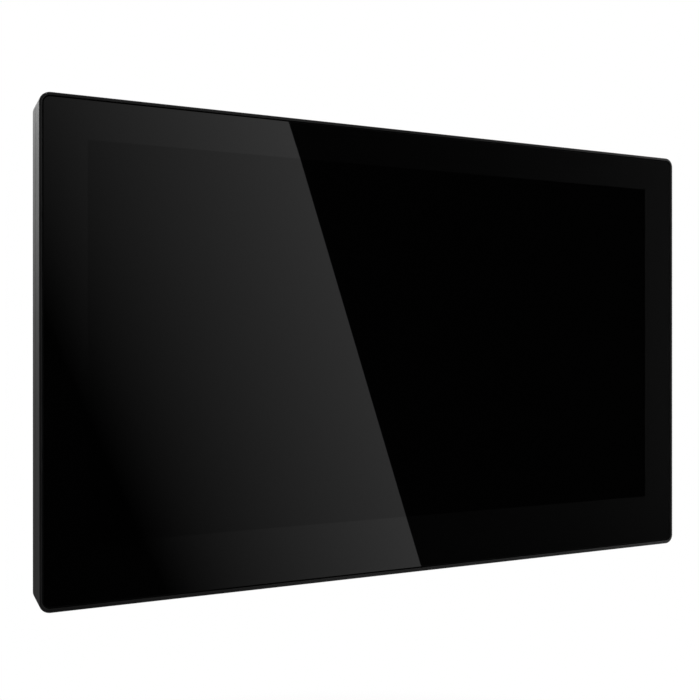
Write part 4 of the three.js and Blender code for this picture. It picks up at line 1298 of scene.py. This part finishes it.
# %% Tantalum capacitors: yellow case, dark band, tinned ends
yellow_case = even_finish("yellow_case", (0.5, 0.3, 0.045, 1), (0.58, 0.37, 0.07, 1), 0.4)
dark_band = even_finish("dark_band", (0.16, 0.07, 0.02, 1), (0.2, 0.09, 0.03, 1), 0.42)
band_start, band_end, case_slope = 2.1 * mm, 0.9 * mm, 0.3 * mm
clip_size, clip_thick, clip_high = 2.4 * mm, 0.24 * mm, 1.2 * mm
for number in (1, 2, 3):
    node = f"capacitor_{number}"
    x, y, z = spans(node)
    band = (x[1] - band_start, x[1] - band_end)
    case = block(f"{node}_case", x, y, z)
    bevel(case, case_slope, 2, at_y(y[1]))
    for place in reversed(band):
        slice_at(case, "x", place)
    dress(smooth(case), yellow_case, "tantalum", node)
    dress_part(case, dark_band, lambda centre, normal: band[0] < centre.x < band[1])
    clips = []
    for place in x:
        clip_z = around(sum(z) / 2, clip_size)
        clips.append(block("clip", around(place, clip_thick), (y[0], y[0] + clip_high), clip_z))
        bevel(clips[-1], 0.05 * mm, 1, everywhere)
    dress(join(f"{node}_ends", clips), tinned, "tinned_steel")

# %% [markdown]
# ## Sounder
# The sounder is a flat round can of moulding compound. Its wall rounds into the top, a shallow
# groove runs round the sound hole, and the whole profile is spun in one go.

# %% Sounder from a spun profile
sounder_x, sounder_y, _ = spans("sounder")
middle = centre_of("sounder")
radius, tall, rim = (sounder_x[1] - sounder_x[0]) / 2, sounder_y[1] - sounder_y[0], 0.5 * mm
hole_radius, hole_depth, chamfer = 1.5 * mm, 1.4 * mm, 0.15 * mm
groove_floor = tall - 0.2 * mm
points = [(0, 0), (radius, 0), (radius, tall - rim)]
points += rising_arc((radius - rim, tall - rim), (rim, rim), 4, 4)
points += [(3.1 * mm, tall), (2.9 * mm, groove_floor), (2.3 * mm, groove_floor), (2.1 * mm, tall)]
points += [(hole_radius + chamfer, tall), (hole_radius, tall - chamfer)]
points += [(hole_radius, tall - hole_depth), (0, tall - hole_depth)]
sounder_can = turned_part("sounder_can", points, steps=48)
put(sounder_can, (middle.x, sounder_y[0], middle.z))
dress(smooth(sounder_can), moulding, "chip", "sounder")

# %% [markdown]
# ## Terminal block
# The wires of the alarm cable end here. The block is moulded in green nylon, one cell for each
# wire: a well for the screw and a square mouth below it. Grooves mark the cells.

# %% Block with mouths, wells and grooves
green_nylon = moulded_plastic("green_nylon", (0.012, 0.14, 0.055, 1), (0.016, 0.165, 0.068, 1), 0.38)
block_x, block_y, block_z = spans("terminal_block")
top, front = block_y[1], block_z[0]
terminal_body = block("terminal_body", block_x, block_y, block_z)
over_board = (block_y[0] - mm, board_high.y + seat), (front - mm, board_high.z + seat)
carve(terminal_body, grown(block_x, mm), *over_board)
bevel(terminal_body, 0.8 * mm, 1, both(lambda end: level(end.y, top) and level(end.z, front)))
bevel(terminal_body, 0.25 * mm, 2, both(lambda end: level(end.y, top) and end.z > front + 2 * mm))
well_floor, mouth_size = pole_low.y - seat, 2.2 * mm
mouth_y = (well_floor - 0.3 * mm - mouth_size, well_floor - 0.3 * mm)
well = rod("well", 1.35 * mm, well_floor, top + mm, pole.x, pole.z, sides=28)
mouth = block("mouth", around(pole.x, mouth_size), mouth_y, (block_z[1] - 6 * mm, block_z[1] + mm))
groove_wide, groove_deep, groove_start = 0.24 * mm, 0.3 * mm, 1.4 * mm
groove_x, groove_y = around(pole.x + pole_step / 2, groove_wide), (top - groove_deep, top + mm)
groove = block("groove", groove_x, groove_y, (front + groove_start, block_z[1] + mm))
for tool, count in ((well, pole_count), (mouth, pole_count), (groove, pole_count - 1)):
    repeat(tool, count, (pole_step, 0, 0))
    cut(terminal_body, tool)
dress(smooth(terminal_body), green_nylon, "terminal", "terminal_block")

# %% Clamping screws with a driver slot
radius, tall, rim = (pole_high.x - pole_low.x) / 2, pole_high.y - pole_low.y, 0.2 * mm
points = [(0, 0), (radius, 0), (radius, tall - rim)]
points += [(radius - 0.06 * mm, tall - 0.06 * mm), (radius - rim, tall), (0, tall)]
clamp = turned_part("clamp", points, steps=28)
carve(clamp, (-2 * mm, 2 * mm), (tall - 0.6 * mm, tall + mm), around(0, 0.48 * mm))
stand_screws("terminal_screw", smooth(clamp), tall, pole_count)

# %% [markdown]
# ## Ribbon cables and their connectors
# Two flat cables run from the display and the touch sensor round the edge of the board. Their
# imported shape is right, so they keep it and get copper lines under amber film. Each connector is
# an ivory body with a mouth for the cable, a brown latch bar over it and a row of tinned pins.

# %% Copper lines under amber film
def ribbon_finish(name, line_pitch):
    """Amber film over copper lines that run along the cable."""
    material, tree, shader = new_material(name, Coat_Weight=0.4, Coat_Roughness=0.2)
    lines = even_lines(tree, object_axes(tree)["X"], line_pitch, 0.5)
    patches = noise(tree, 5 * mm)
    film = blend_colors(tree, patches, (0.26, 0.1, 0.018, 1), (0.32, 0.13, 0.024, 1))
    color = blend_colors(tree, lines, film, (0.5, 0.24, 0.06, 1))
    wire(shader, Base_Color=color, Roughness=spread(tree, patches, 0.3, 0.7, 0.3, 0.4))
    add_bump(tree, shader, lines, 0.02 * mm)
    return material


def refinish(material, *nodes):
    """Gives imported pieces, whose shape is right, a better finish."""
    for node in nodes:
        for held in bpy.data.objects[node].material_slots:
            held.material = material


refinish(ribbon_finish("touch_film", 1.0 * mm), "touch_ribbon")
refinish(ribbon_finish("display_film", 0.8 * mm), "lcd_ribbon")

# %% Connectors: body, latch bar and pins
ivory = even_finish("ivory_nylon", (0.6, 0.55, 0.44, 1), (0.66, 0.61, 0.5, 1), 0.42)
latch_brown = even_finish("brown_latch", (0.06, 0.034, 0.02, 1), (0.075, 0.045, 0.028, 1), 0.4)
latch_deep, latch_thick, pin_long, pin_pitch = 1.5 * mm, 0.55 * mm, 0.5 * mm, 1.0 * mm
mouth_high, mouth_play = 0.5 * mm, 0.15 * mm
for kind in ("touch", "lcd"):
    node = f"{kind}_connector"
    (left, right), (foot, top), (front, back) = spans(node)
    middle = centre_of(node)
    body = block(f"{node}_body", (left, right), (foot, top), (front, back - pin_long))
    notch_x, notch_y = grown((left, right), -mm), (top - latch_thick, top + mm)
    carve(body, notch_x, notch_y, (front - mm, front + latch_deep))
    bevel(body, 0.08 * mm, 1, everywhere)
    mouth_x, mouth_y = grown(spans(f"{kind}_ribbon")[0], mouth_play), around(middle.y, mouth_high)
    carve(body, mouth_x, mouth_y, (front - mm, middle.z + mouth_play))
    dress(body, ivory, "connector", node)
    latch_y, latch_z = (top - latch_thick + 0.02 * mm, top), (front, front + latch_deep - 0.12 * mm)
    latch = block(f"{kind}_latch", grown(notch_x, -0.1 * mm), latch_y, latch_z)
    bevel(latch, 0.2 * mm, 3, at_y(top))
    dress(smooth(latch), latch_brown, "connector")
    count = int((right - left - 3 * mm) / pin_pitch) + 1
    pin_x = around(middle.x - (count - 1) / 2 * pin_pitch, 0.3 * mm)
    pin_y = (board_high.y + solder_gap, board_high.y + 0.3 * mm)
    pins = block(f"{kind}_pins", pin_x, pin_y, (back - pin_long - 0.2 * mm, back))
    repeat(pins, count, (pin_pitch, 0, 0))
    dress(pins, tinned, "tinned_steel")

# %% [markdown]
# ## Sockets and the memory card
# Both sockets are folded from tinned steel: a flat tube, closed at one end, with spring tongues
# stamped out of the top. The card that sits in the larger one is black plastic with a label
# field, gold contacts, and three grooves for the thumb.

# %% Folded sockets
def folded_socket(node, mouth, end_wall, side_wall, tongue_zs, long, wide):
    """A flat steel tube, open to the left (-1) or right (1), with spring tongues in its top."""
    x, y, z = spans(node)
    shell = block(f"{node}_shell", x, y, z)
    bevel(shell, 0.35 * mm, 3, lambda a, b: a.x != b.x and level(a.z, b.z))
    inner_x = (x[0] + end_wall, x[1] + mm) if mouth > 0 else (x[0] - mm, x[1] - end_wall)
    inner_top = y[1] - side_wall
    carve(shell, inner_x, grown(y, -side_wall), grown(z, -side_wall))
    tongue_x, slit = around(sum(x) / 2, long), 0.2 * mm
    for place in tongue_zs:
        tongue_z = around(sum(z) / 2 + place, wide)
        around_tongue = block("around", tongue_x, (inner_top - 0.1 * mm, y[1] + mm), tongue_z)
        kept_x = (tongue_x[0] - mm, tongue_x[1] - slit)
        kept_y = (inner_top - mm, y[1] + 2 * mm)
        carve(around_tongue, kept_x, kept_y, grown(tongue_z, -slit))
        cut(shell, around_tongue)
    dress(smooth(shell), tinned, "tinned_steel", node)


folded_socket("service_socket", -1, 0.8 * mm, 0.4 * mm, (-2 * mm, 2 * mm), 2.4 * mm, 1.4 * mm)
folded_socket("card_socket", 1, 0.3 * mm, 0.3 * mm, (-3.6 * mm, 0, 3.6 * mm), 6 * mm, 1.6 * mm)

middle = centre_of("service_socket")
tip, tongue_thick, tongue_wide = service_low.x + 0.5 * mm, 0.4 * mm, 4.4 * mm
tongue_x = (tip, service_high.x - 0.6 * mm)
tongue_y, tongue_z = around(middle.y, tongue_thick), around(middle.z, tongue_wide)
tongue = block("service_tongue", tongue_x, tongue_y, tongue_z)
bevel(tongue, 0.12 * mm, 2, both(lambda end: level(end.x, tip)))
dress(smooth(tongue), moulding, "chip")

# %% Memory card
gold = metal("gold_contacts", (0.75, 0.5, 0.16, 1), (0.85, 0.6, 0.22, 1), 0.24, 0.1 * mm, 0.5)
label_print = even_finish("card_label", grey(0.45), grey(0.52), 0.38)
card_x, card_y, card_z = spans("memory_card")
label_y, contact_y = card_y[1] - 0.04 * mm, card_y[0] + 0.05 * mm
corner_cut, contact_count = 3 * mm, 8
memory_piece = rounded_block("memory_piece", card_x, card_y, card_z, 0.6 * mm, steps=5)
snip = block("snip", (-5 * mm, 5 * mm), (-mm, mm), (-5 * mm, 0))
snip_place = (card_x[0] + corner_cut / 2, sum(card_y) / 2, card_z[1] - corner_cut / 2)
cut(memory_piece, put(snip, snip_place, turn=(0, radians(135), 0)))
for y in card_y:
    bevel(memory_piece, 0.06 * mm, 1, at_y(y))
label_x = (card_x[0] + 5 * mm, card_x[1] - 3.4 * mm)
sinks = [(label_x, grown(card_z, -1.2 * mm))]
for start in (2.6, 1.9, 1.2):
    groove_x = (card_x[1] - start * mm, card_x[1] - (start - 0.4) * mm)
    sinks.append((groove_x, grown(card_z, -2 * mm)))
for x, z in sinks:
    carve(memory_piece, x, (label_y, card_y[1] + mm), z)
contact_x = (card_x[0] + 0.7 * mm, card_x[0] + 3.2 * mm)
contact_step = (card_z[1] - card_z[0] - 2.4 * mm) / contact_count
for number in range(contact_count):
    z = card_z[0] + 1.2 * mm + (number + 0.15) * contact_step
    contact_z = (z, z + 0.7 * contact_step)
    carve(memory_piece, contact_x, (card_y[0] - mm, contact_y), contact_z)
dress(smooth(memory_piece), moulding, "card", "memory_card", body="memory_card")
dress_part(memory_piece, label_print, lambda centre, normal: (
    level(centre.y, label_y) and centre.x < label_x[1] and normal.y > 0.9
))
dress_part(memory_piece, gold, lambda centre, normal: level(centre.y, contact_y) and normal.y < -0.9)

# %% [markdown]
# ## Tamper switch
# The switch reports when the front is lifted. Its black case has a steel cover with four rivets,
# and the domed plunger rides in the bore.

# %% Case, cover and plunger
x, y, z = spans("tamper_switch")
middle = centre_of("tamper_switch")
cover_thick, cover_rim, corner = 0.25 * mm, 0.3 * mm, 0.5 * mm
bore, rivet_radius, rivet_high, rivet_reach = 1.5 * mm, 0.45 * mm, 0.08 * mm, 2.5 * mm
cover_x, cover_z = grown(x, -cover_rim), grown(z, -cover_rim)
cover_y, rivet_y = (y[1] - cover_thick, y[1] - rivet_high), (y[1] - 0.2 * mm, y[1])
switch_case = rounded_block("switch_case", x, (y[0], cover_y[0]), z, corner)
switch_cover = rounded_block("switch_cover", cover_x, cover_y, cover_z, corner)
for side in (-1, 1):
    for end in (-1, 1):
        spot = (middle.x + side * rivet_reach, middle.z + end * rivet_reach)
        add(switch_cover, rod("rivet", rivet_radius, *rivet_y, *spot, sides=16))
for piece in (switch_case, switch_cover):
    drill(piece, bore, y[0] - mm, y[1] + mm, middle.x, middle.z)
dress(smooth(switch_case), moulding, "chip", "tamper_switch")
dress(smooth(switch_cover), tinned, "tinned_steel")

white_acetal = even_finish("white_acetal", grey(0.6), grey(0.67), 0.35)
radius, tall, dome = (plunger_high.x - plunger_low.x) / 2, plunger_high.y - plunger_low.y, 0.35 * mm
points = [(0, 0), (radius, 0), (radius, tall - dome)]
points += rising_arc((0, tall - dome), (radius, dome), 5, 5)
plunger_pin = put(turned_part("plunger_pin", points, steps=32), (post.x, plunger_low.y, post.z))
dress(smooth(plunger_pin), white_acetal, "plunger", "tamper_plunger", body="tamper_plunger")

# %% [markdown]
# ## Layers of the display
# Between glass and tray lie the sheets that make the picture: touch sensor, liquid crystal cell,
# diffuser, light guide with its strip of diodes, reflector, and the steel bezel round them. They
# are flat sheets with clean cut edges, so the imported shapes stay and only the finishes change.

# %% Finishes of the sheets
def clear_sheet(name, tint, roughness, through):
    """A sheet that lets part of the light through, with faint haze."""
    material, tree, shader = new_material(name, Transmission_Weight=through, IOR=1.49)
    haze = noise(tree, 20 * mm)
    darker = tuple(part * 0.92 for part in tint[:3]) + (1,)
    rough = spread(tree, haze, 0.3, 0.7, roughness, roughness + 0.05)
    wire(shader, Base_Color=blend_colors(tree, haze, darker, tint), Roughness=rough)
    return material


refinish(clear_sheet("acrylic_light_guide", (0.86, 0.89, 0.88, 1), 0.08, 0.8), "light_guide")
refinish(clear_sheet("touch_sensor_film", (0.3, 0.32, 0.3, 1), 0.1, 0.6), "touch_sensor")
refinish(clear_sheet("optical_glue", (0.7, 0.7, 0.66, 1), 0.2, 0.5), "glass_adhesive")
refinish(even_finish("dark_crystal_cell", grey(0.006), grey(0.01), 0.12, depth=0), "lcd_cell")
refinish(even_finish("white_diffuser", grey(0.7), grey(0.76), 0.5), "diffuser_sheet")
refinish(even_finish("white_reflector", grey(0.78), grey(0.84), 0.3), "reflector_sheet")
refinish(even_finish("black_foam", grey(0.012), grey(0.022), 0.8, 0.03 * mm, 0.3 * mm), "dust_gasket")
refinish(sheet_steel, "lcd_bezel", *(f"display_bracket_{number}" for number in range(1, 5)))

strip_finish, tree, shader = new_material("diode_strip", Roughness=0.35)
diodes = even_lines(tree, object_axes(tree)["X"], 9 * mm, 0.4)
wire(shader, Base_Color=blend_colors(tree, diodes, grey(0.66), (0.72, 0.6, 0.16, 1)))
refinish(strip_finish, "led_strip")
print(len(bpy.data.materials), "materials")

# %% [markdown]
# ## Studio
# A shiny black plate shows nothing but what it mirrors. So the studio is a white room, and what
# stands in front of the glass is chosen with care: a large card that is bright at one side and
# falls to black at the other, cut off along a slanted line, and a black flag beyond that line.
# The cards are only seen in reflections. They neither light the object nor shade it.

# %% World: white behind everything, a plain grey as fill light
def seen_directly(tree):
    """1 for what the camera sees, straight, mirrored or through glass, and 0 for light."""
    rays = add_node(tree, "LightPath").outputs
    seen = calc(tree, "MAXIMUM", rays["Is Camera Ray"], rays["Is Glossy Ray"])
    return calc(tree, "MAXIMUM", seen, rays["Is Transmission Ray"])


fill_light = 0.45
world = bpy.data.worlds.new("white_room")
bpy.context.scene.world = world
tree = emptied_tree(world)
strength = spread(tree, seen_directly(tree), 0.0, 1.0, fill_light, 1.0)
background = add_node(tree, "Background", {"Color": grey(1.0), "Strength": strength})
add_node(tree, "OutputWorld", {"Surface": background.outputs[0]})
print("fill light", fill_light)


# %% Cards that are only seen in reflections
def glow(name, strength):
    """A surface that glows, evenly or as strength wires it from the coordinates."""
    material = bpy.data.materials.new(name)
    tree = emptied_tree(material)
    if callable(strength):
        strength = strength(tree, object_axes(tree))
    emission = add_node(tree, "Emission", {"Color": grey(1.0), "Strength": strength})
    add_node(tree, "OutputMaterial", {"Surface": emission.outputs[0]})
    return material


def card(name, left, right, y, bottom, top, strength):
    """A flat card. An edge at the side is an x, or a pair of its x below and its x above."""
    deselect_all()
    bpy.ops.mesh.primitive_plane_add(size=1)
    piece = settle(name)
    (left_low, left_high), (right_low, right_high) = (
        edge if isinstance(edge, tuple) else (edge, edge) for edge in (left, right)
    )
    corners = [(left_low, bottom), (right_low, bottom), (left_high, top), (right_high, top)]
    for vertex, (x, z) in zip(piece.data.vertices, corners):
        vertex.co = (x, y, z)
    piece.data.materials.append(glow(name.replace("card", "glow"), strength))
    for ray in ("camera", "diffuse", "transmission", "volume_scatter", "shadow"):
        setattr(piece, "visible_" + ray, False)


def card_falloff(tree, axis):
    """Bright at the upper right, black at the lower left."""
    rise_x, rise_z, at_middle = 2.022, 0.867, 0.084
    sideways = calc(tree, "MULTIPLY_ADD", axis["X"], rise_x)
    sideways.node.inputs[2].default_value = at_middle
    upward = calc(tree, "MULTIPLY", axis["Z"], rise_z)
    return calc(tree, "MAXIMUM", calc(tree, "ADD", sideways, upward), 0.0)


front_y, half_height, slant = -0.6, 0.7, (0.4858, 0.0277)
card("lit_card", -0.9, slant, front_y, -half_height, half_height, card_falloff)
card("black_flag", slant, 0.8, front_y, -half_height, half_height, 0.0035)


# %% Dimmer cards behind: for the left side, the lower lip and the wall side
def side_falloff(tree, axis):
    """Falls from the top to the bottom, as a power, to a last dim tone."""
    steepness, gain, last_tone = 15.5, 0.203, 0.047
    power = calc(tree, "POWER", 2.718, calc(tree, "MULTIPLY", axis["Z"], steepness))
    return calc(tree, "ADD", calc(tree, "MULTIPLY", power, gain), last_tone)


def rear_falloff(tree, axis):
    """Dark below and bright above, a little brighter towards one side."""
    leaning = calc(tree, "ADD", axis["Z"], calc(tree, "MULTIPLY", axis["X"], 0.35))
    return spread(tree, leaning, -0.7, 0.9, 0.02, 1.0)


side_end, behind, far_behind = -0.1275, 0.15, 0.9
card("side_card", -0.42, side_end, behind, -0.3, 0.3, side_falloff)
card("corner_card", side_end, 0.2, behind, -0.35, -0.085, 0.02)
card("rear_card", 1.0, -1.0, far_behind, -0.7, 1.0, rear_falloff)

# %% Floor: pale round the object, white far away
floor_z, floor_radius, floor_rim = -0.5, 1.2, 0.4
deselect_all()
bpy.ops.mesh.primitive_circle_add(
    vertices=96, radius=floor_radius, fill_type="NGON", location=(0, 0, floor_z)
)
floor = settle("floor")
edit(floor, "FACE", "SELECT")
bpy.ops.mesh.inset(thickness=floor_rim)
deselect_all()
pale = bpy.data.materials.new("pale_floor")
tree = emptied_tree(pale)
matt = add_node(tree, "BsdfPrincipled", {"Base Color": grey(0.82), "Roughness": 0.8})
measured = add_node(tree, "VectorMath", {0: object_coordinates(tree)}, operation="LENGTH")
white = add_node(tree, "Emission", {"Color": grey(1.0), "Strength": 1.0})
whiter = spread(tree, measured.outputs["Value"], 0.65, 1.15)
fade = calc(tree, "MULTIPLY", whiter, seen_directly(tree))
mixed = add_node(tree, "MixShader", {0: fade, 1: matt.outputs[0], 2: white.outputs[0]})
add_node(tree, "OutputMaterial", {"Surface": mixed.outputs[0]})
floor.data.materials.append(pale)


# %% Soft lamps
def soft_lamp(name, place, power, mirrored=False):
    """A square area lamp that looks at the object."""
    deselect_all()
    bpy.ops.object.light_add(type="AREA", location=place)
    lamp = bpy.context.object
    lamp.name = name
    lamp.data.size = 0.9
    lamp.data.energy = power
    lamp.rotation_euler = (-Vector(place)).to_track_quat("-Z", "Y").to_euler()
    lamp.visible_glossy = mirrored


soft_lamp("key_lamp", (-0.7, -0.9, 0.9), 12)
soft_lamp("fill_lamp", (1.1, -0.7, 0.1), 6, mirrored=True)
soft_lamp("back_lamp", (0.3, 1.1, 0.8), 8)
bpy.context.scene.view_settings.view_transform = "Standard"
